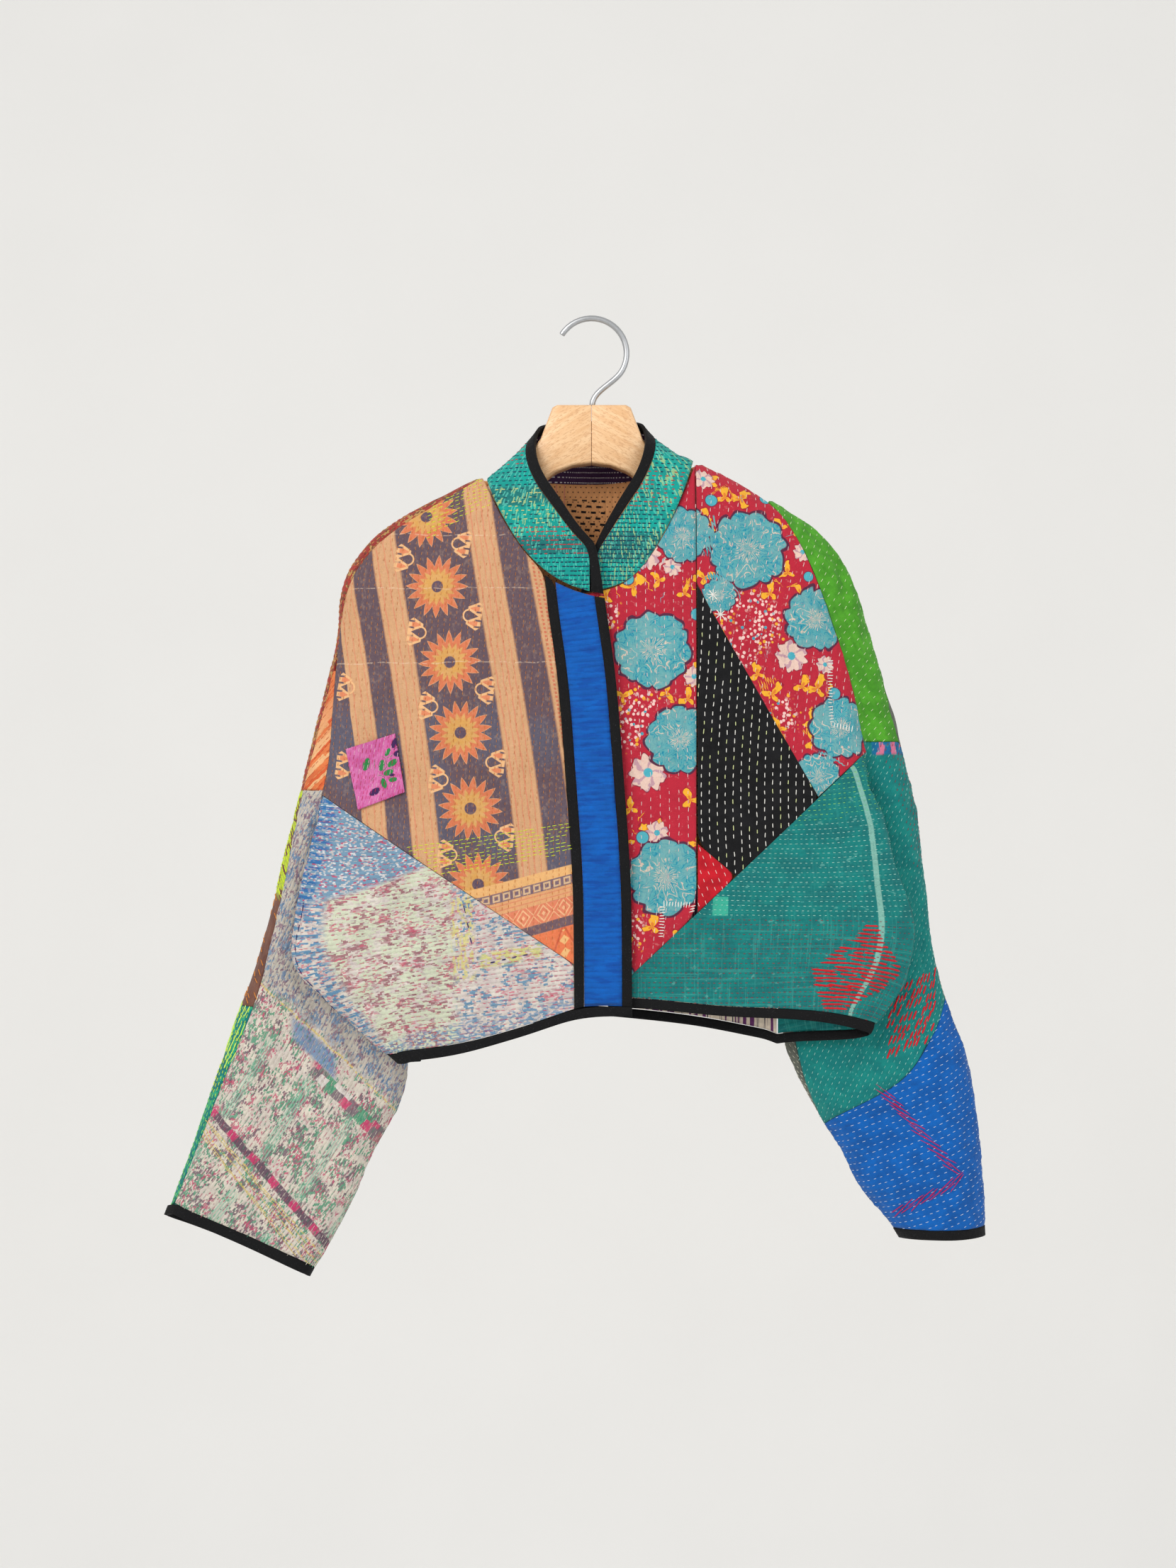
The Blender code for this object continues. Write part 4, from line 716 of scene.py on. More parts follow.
def thread_material():
    paint = Paint("thread", on_cloth=False)
    tint = paint.node("ShaderNodeAttribute", {"attribute_name": "tint"}).outputs["Color"]
    twist = (paint.u + paint.v * 0.8 + paint.w * 0.6).wave(0.55) * 0.05
    paint.colour = tint
    return paint.cotton(twist, weave=0, roughness=0.7, sheen=0.1, mottle=0.08, speck=0.1)


FACES_A_STITCH = 12
STITCHES, THICKNESS = stitch_group(thread_material())


def sew(cloth, stitches):
    """Sews stitches (u, v, angle, length, colour, width) on to a piece and returns the object of threads."""
    places, normals, kept = cloth.on_surface([s[:2] for s in stitches])
    if not len(kept):
        return None
    angle = np.radians([stitches[i][2] for i in kept])
    ahead, _, ok = cloth.on_surface([(stitches[i][0] + 0.6 * math.cos(a), stitches[i][1] + 0.6 * math.sin(a))
                                     for i, a in zip(kept, angle)])
    turns, sizes, tints, spots = [], [], [], []
    for j, k in enumerate(ok):
        normal = Vector(normals[k]).normalized()
        along = Vector(ahead[j]) - Vector(places[k])
        along = (along - normal * along.dot(normal)).normalized()
        side = normal.cross(along)
        turn = Matrix((along, side, normal)).transposed().to_euler()
        _, _, _, length, colour, width = stitches[kept[k]]
        turns.append(turn[:])
        sizes.append((length * MM, width * MM, (0.45 + 0.3 * width + 0.06 * length) * MM))
        tints.append(linear(colour))
        spots.append(Vector(places[k]) * MM)
    me = bpy.data.meshes.new("stitch points")
    me.from_pydata(spots, [], [])
    for name, kind, key, values in (("stitch_turn", "FLOAT_VECTOR", "vector", turns),
                                    ("stitch_size", "FLOAT_VECTOR", "vector", sizes),
                                    ("tint", "FLOAT_COLOR", "color", tints)):
        me.attributes.new(name, kind, "POINT").data.foreach_set(key, np.array(values, np.float32).reshape(-1))
    obj = linked("sewing", me)
    live = obj.modifiers.new("stitches", "NODES")
    live.node_group = STITCHES
    live[THICKNESS] = 1.0
    name = "stitches_" + cloth.name
    done = linked(name, plain_mesh(obj, name))
    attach(done, "root")
    return done


def rows_over(cloth, angle, gap, pitch, length, colour, width=0.6, jitter=0.35, where=None, skip=0.03):
    """Stitches in rows over a piece's outer face. colour is one colour or a function of (u, v)."""
    outer = cloth.uv[cloth.outer_points()]
    c, s = math.cos(math.radians(angle)), math.sin(math.radians(angle))
    along, across = outer @ (c, s), outer @ (-s, c)
    made = []
    for row in range(math.floor(across.min() / gap), math.ceil(across.max() / gap) + 1):
        shift = random.uniform(0, pitch)
        for step in range(math.floor(along.min() / pitch), math.ceil(along.max() / pitch) + 1):
            a = step * pitch + shift + random.uniform(-jitter, jitter)
            b = row * gap + random.uniform(-jitter, jitter) * 0.5
            u, v = a * c - b * s, a * s + b * c
            if random.random() < skip or (where and not where(u, v)):
                continue
            shade = colour(u, v) if callable(colour) else colour
            if shade:
                lean, reach = angle + random.uniform(-5, 5), length * random.uniform(0.8, 1.2)
                made.append((u, v, lean, reach, shade, width))
    return made


def in_rows(*rows, **look):
    """The sewing of a piece whose stitches are all one set of rows."""
    return lambda cloth: rows_over(cloth, *rows, **look)


print("tools ready")

# %% [markdown]
# Prints laid out
#
# The prints are ordinary flowers, suns and bands. Each kind of motif has a short list of centres on the
# cloth. Every point of the fine mesh keeps its place beside the nearest centre, and the material
# draws the motif from that, so its outline stays sharp however close the camera comes.
# %%
WHITE, NEON = (238, 236, 228), (216, 238, 44)


def nearest_motif(cloth, name, motifs):
    """Keeps for each point its place (dx, dz) beside the nearest motif, and how far off that is.

    A motif is (x, z, size, turn in degrees). All three numbers are divided by its size."""
    best = np.full(len(cloth.uv), 1e9)
    local = np.zeros((len(cloth.uv), 3))
    for x, z, size, turn in motifs:
        c, s = math.cos(math.radians(turn)), math.sin(math.radians(turn))
        dx, dz = (cloth.uv[:, 0] - x) / size, (cloth.uv[:, 1] - z) / size
        away = np.hypot(dx, dz)
        closer = away < best
        best[closer] = away[closer]
        local[closer, 0] = (dx * c + dz * s)[closer]
        local[closer, 1] = (dz * c - dx * s)[closer]
        local[closer, 2] = away[closer]
    cloth.store(name, local)


def polar(paint, name):
    """Radius, angle and reach of the nearest motif stored under name, and its place."""
    x, y, reach = paint.vector(name)
    return (x * x + y * y).op("SQRT"), y.op("ARCTAN2", x), reach, x, y


def lining_art(cloth):
    """Keeps a 1 on every point that isn't on the outer face."""
    lining = np.ones(len(cloth.points))
    lining[cloth.outer_points()] = 0
    cloth.store("lining", lining)


def any_of(*colours):
    """A thread that changes its colour from stitch to stitch."""
    return lambda u, v: random.choice(colours)


def along_line(places, turn, length, gap, colour, width, offsets=(0,)):
    """Stitches every gap along a line through places, each turned from the line: 90 makes a ladder."""
    made = []
    for (x0, z0), (x1, z1) in zip(places, places[1:]):
        reach, angle = math.hypot(x1 - x0, z1 - z0), math.atan2(z1 - z0, x1 - x0)
        for i in range(int(reach / gap)):
            t = (i + 0.5) * gap / reach
            for off in offsets:
                x = x0 + (x1 - x0) * t - math.sin(angle) * off
                z = z0 + (z1 - z0) * t + math.cos(angle) * off
                lean = math.degrees(angle) + turn + random.uniform(-7, 7)
                made.append((x, z, lean, length * random.uniform(0.85, 1.15), colour, width))
    return made


def smallest_box(places):
    """The width and length in metres of the smallest rectangle that the flat piece can be cut from."""
    boxes = []
    for turn in np.radians(range(0, 90, 3)):
        sides = np.ptp(places @ [[math.cos(turn), -math.sin(turn)], [math.sin(turn), math.cos(turn)]], axis=0)
        boxes.append(sorted(round(float(side) * MM, 3) for side in sides))
    return min(boxes, key=lambda box: box[0] * box[1])


def add_cloth(name, material, outward=FRONT, stitches=None, levels=ROUNDS, art=None, quilt=None):
    """Makes one cut piece of cloth with its creases, its print and its stitches."""
    cloth = Cloth(name, outward, levels)
    quads = cloth.loop_uv[cloth.outer_loops()]
    one, two = quads[:, 2] - quads[:, 0], quads[:, 3] - quads[:, 1]
    area = float(np.abs(one[:, 0] * two[:, 1] - one[:, 1] * two[:, 0]).sum()) / 2 * MM * MM
    FLATS[name] = (*smallest_box(quads.reshape(-1, 2)), round(area, 5))
    crumple(cloth, quilt)
    if art:
        art(cloth)
    cloth.finish(material)
    if stitches:
        SEWN[name] = sew(cloth, stitches(cloth))
    threads = len(SEWN[name].data.polygons) // FACES_A_STITCH if SEWN.get(name) else 0
    print(name, "flat", FLATS[name], "stitches", threads)


# %% [markdown]
# Right front: banded print with suns
#
# A washed cotton print in bands of tan and brown that lean to the shoulder, with one wide brown band of
# suns between pairs of small tulips. The bands follow one curved middle line, so every band edge is a
# distance from that line. A border of chain, medallions and a dark stripe closes the print at the bottom.
# Small orange threads run down it, and two places are darned in bright yellow.
# %%
SUN_TOP, SUN_LEAN = -475.0, 308.5
SUN_HEIGHTS, TULIP_HEIGHTS = (-166, -226, -290, -349, -412, -475), (-196, -258, -320, -381, -443, -136)
SUN_SIZE, TULIP_SIZE = 26.0, 13.5
SUN_ROWS = (86, 5.2)


def sun_middle(z):
    return -95 - 47 * np.clip((z - SUN_TOP) / SUN_LEAN, 0, 2) ** 1.5


def sun_art(cloth):
    x, z = cloth.uv[:, 0], cloth.uv[:, 1]
    cloth.store("band", x - sun_middle(z))
    cloth.store("border", (-481.4 + (x + 110.4) * 0.209) - z)
    nearest_motif(cloth, "sun", [(float(sun_middle(z)), z, SUN_SIZE, z) for z in SUN_HEIGHTS])
    tulips = []
    for z in TULIP_HEIGHTS:
        mid = float(sun_middle(z))
        tulips += [(mid + 22, z + 7, TULIP_SIZE, -8), (mid - 20, z - 7, TULIP_SIZE, 172)]
    tulips += [(-205, z, TULIP_SIZE, 172) for z in (-310, -376)]
    nearest_motif(cloth, "tulip", tulips)


def sun_material():
    p = Paint("sun print")
    band, border = p.attribute("band"), p.attribute("border")
    p.dye((198, 150, 108), (206, 161, 122), p.noise(12, 2.0, stretch=(1, 6)))
    waver = band + (p.noise(9, 1.0, seed=2.0) - 0.5) * 2.2
    lines = waver.bands([(37.5, 38.7), (43, 43.8), (47.5, 48.7), (53, 53.8), (-48, -46.9), (-41, -40.1),
                         (-34, -33.2), (-89, -88), (-82, -81.2), (-76, -75.2)])
    p.lay((206, 118, 92), lines * 0.6)
    ladder = (p.v.part(3.4) - 0.5).op("ABSOLUTE").above(0.22, 0.1) * band.bands([(84, 86), (88.5, 90.5)])
    zigzag = band - 97 + ((p.v.part(22) - 0.5).op("ABSOLUTE") * 18 - 4.5)
    p.lay((198, 92, 70), (ladder + zigzag.within(-1.0, 1.0, 0.5)).op("MINIMUM", 1.0) * 0.75)
    blue_grey = p.noise(40, 1.0, seed=4.0).above(0.5, 0.2) * (0 - p.v).above(320, 60)
    brown = p.mix((95, 77, 86), (90, 86, 102), blue_grey)
    p.lay(brown, band.bands([(-29, 34), (58, 81), (-72, -52), (-145, -93)], 0.7))
    edge = band.bands([(-30, -28.6), (33.4, 34.8), (57.2, 58.6), (80.4, 81.8), (-72.8, -71.6),
                       (-52.4, -51.2)])
    p.lay((150, 108, 90), edge * 0.6)
    r, angle, reach, *_ = polar(p, "sun")
    near = 1 - reach.above(1.05, 0.02)
    tooth = ((angle * (16 / (2 * math.pi))).op("FRACT") - 0.5).op("ABSOLUTE") * 2
    ray = tooth * 0.38 + 0.66 - r
    p.lay((212, 154, 112), ray.above(0, 0.02) * near)
    p.lay((206, 116, 80), ray.above(0.035, 0.03) * near)
    p.lay((206, 156, 94), (tooth * 0.24 + 0.4 - r).above(0, 0.05) * near)
    glow = p.noise(7, 2.0, seed=9.0)
    p.lay((206, 152, 78), (0.5 - r).above(0, 0.2) * near * glow.above(0.48, 0.2) * 0.7)
    p.lay((92, 74, 90), (0.19 - r).above(0, 0.025) * near)
    r, angle, reach, x, y = polar(p, "tulip")
    near = 1 - reach.above(1.04, 0.03)
    stem = (1 - (r - 0.36).op("ABSOLUTE").above(0.05, 0.03)) * (0.16 - x).above(0, 0.1)
    level = (y.op("ABSOLUTE") - 0.46).op("ABSOLUTE")
    cup = (x * 0.5 + 0.16 - level).above(0, 0.03) * x.within(-0.12, 0.8, 0.04)
    notch = (level - 0.2).op("ABSOLUTE").above(0.06, 0.04).op("MAXIMUM", 1 - x.above(0.42, 0.1))
    bloom = (cup * notch).op("MAXIMUM", stem) * near
    p.lay((226, 176, 126), bloom)
    inner = (x * 0.4 + 0.02 - level).above(0, 0.04) * x.within(0.02, 0.6, 0.05) * near
    p.lay((214, 130, 92), inner * notch)
    p.lay((224, 172, 112), border.within(0, 8, 0.8))
    link = ((p.u.part(8.5) - 0.5).op("ABSOLUTE") * 8.5).op("MAXIMUM", (border - 12).op("ABSOLUTE"))
    p.lay((118, 96, 108), border.within(8, 16, 0.8))
    p.lay((212, 178, 140), link.within(1.6, 3.0, 0.7) * border.within(8, 16))
    p.lay((216, 158, 110), border.within(16, 26, 0.8))
    p.lay((206, 122, 92), border.bands([(18, 19), (22, 23)]) * 0.7)
    p.lay((214, 124, 92), border.within(26, 42, 0.8))
    hexes = (p.u.part(17) - 0.5).op("ABSOLUTE") * 17 + (border - 34).op("ABSOLUTE") * 0.8
    p.lay((230, 176, 132), hexes.bands([(0, 1.6), (4.4, 5.8), (8.6, 9.4)], 0.6) * border.within(26, 42))
    p.lay((108, 84, 92), border.within(42, 50, 0.8))
    p.lay((222, 118, 76), border.above(50, 0.8))
    large = (p.u.part(30, 0.4) - 0.5).op("ABSOLUTE") * 30
    petal = (large * 1.1 + (border - 72).op("ABSOLUTE") * 0.5)
    p.lay((196, 92, 62), petal.within(11, 13, 0.8) * border.above(50))
    squares = (large + ((border.part(11) - 0.5).op("ABSOLUTE") * 11))
    p.lay((228, 176, 116), (4.2 - squares).above(0, 0.7) * border.above(52))
    faded = p.noise(2.4, 3.0, stretch=(1, 1.6), seed=6.0).above(0.6, 0.14)
    p.lay((222, 186, 148), faded * 0.13)
    wavy = p.v + (p.noise(18, 1.0, seed=5.0) - 0.5) * 5.0
    folds = wavy.bands([(-291, -290), (-228, -227.2), (-182, -181.2)])
    p.lay((232, 206, 180), folds * p.noise(3, 1.0, seed=1.0).above(0.45, 0.1) * 0.35)
    return p.cotton(p.puckers(*SUN_ROWS, 0.3, 0.45), mottle=0.1)


def sun_stitches(cloth):
    def on_brown(u, v):
        w = u - float(sun_middle(v))
        return -29 < w < 34 or 58 < w < 81 or -72 < w < -52 or w < -93

    def colour(u, v):
        choices = [(206, 132, 62), (196, 118, 58)] if on_brown(u, v) else [(206, 128, 82), (232, 186, 130)]
        return random.choice(choices)

    made = rows_over(cloth, *SUN_ROWS, 4.6, 1.9, colour, width=0.42)
    made += rows_over(cloth, 7, 3.1, 4.9, 2.7, NEON, width=0.55, skip=0.12,
                      where=lambda u, v: -152 < u < -13 and abs(v + 456 - (u + 150) * 0.13) < 13)
    made += rows_over(cloth, 24, 3.6, 5.0, 2.5, NEON, width=0.55, skip=0.12,
                      where=lambda u, v: -142 < u < -84 and v > -187 + (u + 142) * 0.62)
    return made


add_cloth("front_right_upper", sun_material(), stitches=sun_stitches, art=sun_art,
          quilt=SUN_ROWS)

# %% [markdown]
# Plain stitched cottons
#
# Most other pieces are washed cottons with a mottled dye and rows of running stitch. One function makes
# them, with the colours, the patches where the dye has gone, and the rows as arguments.
# %%


def washed(name, base, second, rows, size=14, stretch=(1, 1), depth=0.36, crinkle=0.5, extra=None,
           speck=0.12):
    """A washed cotton: base dye with cloudy patches of a second colour, puckered by rows (angle, gap)."""
    p = Paint(name)
    p.dye(base, second, p.noise(size, 3.0, stretch=stretch, seed=1.0).above(0.5, 0.2))
    if extra:
        extra(p)
    return p.cotton(p.puckers(*rows, depth, crinkle), speck=speck)


# %% [markdown]
# Left front: large flowers on red
#
# A hand-printed cotton: big ruffled turquoise blooms, small pinkish ones, flame-shaped yellow leaves and
# sprays of tiny white flowers on red. The two red pieces share one print and one list of motifs, because
# the real ones are cut from the same cloth. A black inset and a small red gore sit between them.
# %%
# every motif below is (x, z, size, turn in degrees)
FLOWERS = [
    (52, -280, 33, 10), (72, -355, 29, 40), (60, -468, 32, 75), (76, -182, 24, 120), (130, -195, 34, 20),
    (190, -252, 28, 60), (208, -346, 27, 95), (20, -560, 26, 10), (106, -236, 15, 30),
    (184, -385, 20, 0),
]
PALE_FLOWERS = [
    (169, -284, 14, 0), (45, -382, 16, 40), (97, -131, 10, 0), (12, -455, 12, 0), (47, -202, 12, 30),
    (69, -210, 8, 0), (176, -196, 8, 0), (86, -303, 9, 0), (198, -291, 8, 0), (52, -432, 10, 0),
]
LEAVES = [
    (14, -236, 9, 20), (36, -228, 11, -10), (26, -318, 8, -30), (18, -345, 9, 80), (62, -316, 8, 250),
    (80, -322, 9, 20), (30, -412, 9, 30), (47, -430, 11, -15), (28, -440, 8, 60), (80, -405, 9, 50),
    (22, -492, 9, 10), (52, -510, 9, 20), (30, -528, 9, -20), (73, -520, 8, 40), (58, -545, 8, 30),
    (58, -222, 8, 70), (80, -232, 8, 20), (93, -222, 9, -40), (96, -178, 9, 30), (86, -300, 8, 10),
    (126, -152, 12, -10), (112, -150, 9, 20), (150, -232, 9, 20), (104, -134, 9, -20),
    (164, -214, 9, 30), (172, -178, 8, -60), (140, -300, 9, 40), (152, -316, 10, -10),
    (178, -310, 9, 10), (190, -312, 12, 0), (206, -316, 8, 60), (184, -340, 9, 20), (184, -356, 9, 40),
    (156, -344, 9, 60), (176, -230, 8, 70), (158, -176, 8, 60), (10, -282, 7, 60), (8, -378, 9, 10),
    (86, -440, 9, 10), (94, -168, 8, 30),
]
BUDS = [
    (44, -206, 4, 0), (40, -436, 5, 0), (206, -316, 5, 0), (100, -152, 5, 0), (148, -150, 4, 0),
    (32, -222, 5, 0), (90, -250, 5, 0), (182, -216, 4, 0),
]
SPRAYS = [
    (134, -256, 26, 0), (44, -335, 22, 0), (28, -515, 18, 0), (158, -332, 14, 0), (12, -250, 13, 0),
    (20, -480, 12, 0), (126, -280, 15, 0), (30, -345, 16, 0),
]
INNER_ROWS, OUTER_ROWS = (90, 7.8), (80, 7.8)


def floral_art(cloth):
    for kind, places in (("flower", FLOWERS), ("pale", PALE_FLOWERS), ("leaf", LEAVES), ("spray", SPRAYS),
                         ("bud", BUDS)):
        nearest_motif(cloth, kind, places)


def floral_material():
    p = Paint("floral print")
    p.dye((190, 38, 58), (168, 30, 50), p.noise(18, 3.0))
    r, angle, reach, *_ = polar(p, "spray")
    dots, lot = p.cells(3.3)
    petals = (0.42 - dots).above(0, 0.08)
    p.lay((234, 196, 188), petals * (1 - reach.above(0.98, 0.25)) * lot.above(0.3, 0.1))
    p.lay((232, 168, 50), petals * reach.within(0.6, 1.3, 0.2) * (1 - lot.above(0.26, 0.05)))
    p.lay((70, 150, 170), petals * (1 - reach.above(0.8, 0.2)) * lot.within(0.3, 0.4, 0.02))
    r, angle, reach, *_ = polar(p, "leaf")
    near = 1 - reach.above(1.3, 0.05)
    angle = angle + (p.noise(6, 1.0, seed=3.0) - 0.5) * 1.2
    tongues = (angle * 1.5).op("SINE").op("ABSOLUTE").op("POWER", 2.4) * 0.92 + 0.14
    flame = tongues * (angle.op("SINE") * 0.25 + 0.88)
    p.lay((150, 26, 46), (flame * 1.12 - r).above(0, 0.06) * near)
    p.lay((236, 172, 46), (flame - r).above(0, 0.05) * near)
    p.lay((206, 96, 44), (flame * 0.4 - r).above(0, 0.08) * near * 0.7)
    r, angle, reach, *_ = polar(p, "pale")
    near = 1 - reach.above(1.25, 0.04)
    fan = (angle * 4.5).op("SINE").op("ABSOLUTE") * 0.22 + (angle * 13.0).op("SINE") * 0.05 + 0.76
    veins = ((angle * 5.0 + r * 4.0 + p.noise(5, 2.0) * 5.0).op("SINE")).above(0.62, 0.3)
    skin = p.mix((222, 190, 176), (168, 122, 148), veins * 0.7)
    p.lay((128, 34, 56), (fan * 1.06 - r).above(0, 0.03) * near)
    p.lay(skin, (fan - r).above(0, 0.04) * near)
    p.lay((72, 168, 184), (0.24 - r).above(0, 0.05) * near)
    r, angle, reach, *_ = polar(p, "flower")
    near = 1 - reach.above(1.2, 0.03)
    wobble = p.noise(16, 1.0, seed=6.0) - 0.5
    turned = angle + wobble * 0.7
    scallop = (turned * 5.5).op("SINE").op("ABSOLUTE")
    ruffle = scallop * 0.11 + wobble * 0.22 + 0.86
    swirl = p.noise(8, 2.0, seed=2.0)
    flow = r * 3.1 + scallop * 0.9 + swirl * 2.2
    strands = (flow * 2.0).op("FRACT")
    body = p.mix((84, 160, 166), (28, 134, 160),
                 strands.within(0.0, 0.34, 0.12) * p.noise(3, 2.0, seed=1.0).above(0.4, 0.2))
    body = p.mix(body, (120, 168, 168), p.noise(14, 2.0, seed=8.0).above(0.54, 0.15) * 0.6)
    lick = flow.part(1.0, 0.35).within(0.42, 0.56, 0.1)
    lick = lick * p.noise(9, 1.0, stretch=(2, 1), seed=3.0).above(0.56, 0.06)
    body = p.mix(body, (226, 196, 172), lick * 0.9)
    core = (0.3 - r).above(0, 0.1) * (flow * 1.6).part(1.0).within(0.3, 0.6, 0.15)
    body = p.mix(body, (220, 194, 172), core * 0.8)
    p.lay((84, 36, 62), (ruffle * 1.07 - r).above(0, 0.02) * near)
    p.lay(body, (ruffle - r).above(0, 0.02) * near)
    r, angle, reach, *_ = polar(p, "bud")
    p.lay((96, 44, 72), (1.15 - r).above(0, 0.1))
    p.lay((76, 166, 180), (1.0 - r).above(0, 0.1))
    worn = p.noise(3.2, 3.0, seed=7.0).above(0.68, 0.1)
    p.lay((214, 150, 146), worn * 0.3)
    return p.cotton(p.puckers(*INNER_ROWS, 0.28, 0.5), mottle=0.1)


FLORAL = floral_material()
ROSE_WHITE = any_of((236, 214, 208), (232, 206, 202), (226, 190, 190))


def floral_rows(cloth, rows):
    return rows_over(cloth, *rows, 6.9, 2.4, ROSE_WHITE, width=0.55, skip=0.06)


def inner_floral_stitches(cloth):
    made = floral_rows(cloth, INNER_ROWS)
    mend = [(60, -518), (59, -490), (85, -490), (86, -506)]
    return made + along_line(mend, 90, 3.4, 2.4, WHITE, 0.85)


def outer_floral_stitches(cloth):
    made = floral_rows(cloth, OUTER_ROWS)
    mend = [(203, -286), (201, -326), (202, -343), (220, -348)]
    made += along_line(mend, 90, 3.6, 2.6, WHITE, 0.85)
    for x, z in ((101, -236), (108, -252)):  # two embroidered daisies
        made += [(x + 2.4 * math.cos(t), z + 2.4 * math.sin(t), math.degrees(t), 4.2, WHITE, 0.9)
                 for t in (i * math.pi / 4 for i in range(8))]
    return made


for name, stitches, rows in (("front_left_inner", inner_floral_stitches, INNER_ROWS),
                             ("front_left_outer", outer_floral_stitches, OUTER_ROWS)):
    add_cloth(name, FLORAL, stitches=stitches, art=floral_art, quilt=rows)
add_cloth("front_left_gore", washed("red cotton", (196, 22, 38), (172, 16, 32), rows=(-60, 6)),
          stitches=in_rows(-68, 6, 7, 2.3, (240, 214, 206), width=0.55))
add_cloth("front_left_inset",
          washed("black cotton", (9, 9, 12), (19, 19, 22), rows=(88, 6.6), depth=0.5),
          stitches=in_rows(88, 6.6, 7.2, 2.7, any_of(WHITE, WHITE, WHITE, (214, 222, 160)), width=0.75,
                           skip=0.01), quilt=(88, 6.6))

# %% [markdown]
# Left lower front: teal with a darned diamond
#
# A teal handloom cotton. Thicker pale threads show as a faint grid, a pale selvedge runs down its outer
# side, the running stitch changes from green to mint to dark red down the piece, and a cluster of thick
# red bars was darned in. The bars are drawn row by row between two edge lines.
# %%
BAR_TOP, BAR_GAP, BAR_ROWS, BAR_WIDTH = -505, 3.25, 24, 1.8


def lower_left_extra(p):
    stripe = p.attribute("stripe")
    slub = (p.noise(1.4, 1.0, stretch=(40, 1), seed=2.0).above(0.62, 0.06)
            + p.noise(1.4, 1.0, stretch=(1, 40), seed=4.0).above(0.62, 0.06)).op("MINIMUM", 1.0)
    low = (0 - p.v).above(500, 12)
    p.lay((86, 172, 160), slub * (low * 0.14 + 0.08))
    p.lay((134, 186, 172), stripe.within(-2.3, 2.3, 0.7) * (p.noise(3, 2.0).above(0.3, 0.3) * 0.4 + 0.45))
    slip = p.u.within(99, 112, 0.8) * p.v.within(-501, -485, 0.8)
    p.lay((62, 176, 150), slip * 0.85)
    worn = p.noise(4, 3.0, stretch=(1.5, 1), seed=9.0).above(0.68, 0.06)
    p.lay((120, 190, 178), worn * 0.35)


def lower_left_art(cloth):
    x, z = cloth.uv[:, 0], cloth.uv[:, 1]
    heights, middles = (-580, -559, -538, -478, -427, -368), (226, 231, 234, 234, 235.5, 230.5)
    cloth.store("stripe", x - np.interp(z, heights, middles))


def lower_left_stitches(cloth):
    def colour(u, v):
        if v < -504:
            return random.choice([(140, 46, 60), (124, 54, 66), (150, 50, 60)])
        if v > -425 + (u - 150) * 0.1:
            return random.choice([(150, 222, 120), (110, 206, 150)])
        return random.choice([(176, 222, 208), (150, 206, 190)])

    made = rows_over(cloth, 0, 4.1, 4.5, 1.5, colour, width=0.5, jitter=0.25)
    for i in range(BAR_ROWS):
        v = BAR_TOP - i * BAR_GAP
        left = np.interp(v, (-583, -560, -549, -535, -521, -505), (200, 188, 184, 195, 210, 225))
        right = np.interp(v, (-583, -575, -560, -545, -536, -521, -505), (215, 224, 245, 256, 254, 236, 229))
        u = left + random.uniform(0, 2)
        while u < right - 1:
            length = min(random.uniform(5, 15), max(right - u, 3))
            if (i % 6) or u > left + 12:
                made.append((u + length / 2, v + random.uniform(-0.4, 0.4), random.uniform(-5, 1), length,
                             random.choice([(214, 24, 40), (200, 26, 42)]), BAR_WIDTH))
            u += length + random.choice([1.6, 2.0, 6.0])
    return made


add_cloth("front_left_lower",
          washed("teal cotton", (14, 122, 118), (16, 108, 108), rows=(0, 4.1), depth=0.24,
                 extra=lower_left_extra, speck=0.2),
          stitches=lower_left_stitches, art=lower_left_art, quilt=(0, 4.1))
print("left front made")

# %% [markdown]
# Right lower front: cloth worn down to many small strokes
#
# Here several thin layers have worn through, and what is left reads as thousands of short strokes of
# cream, green, mauve, pink and blue. The material splits the cloth into strokes, gives each a random
# number, and lets soft clouds decide where each colour wins. Soft noise alone would look like water
# colour, because the real edges are as crisp as threads.
# %%


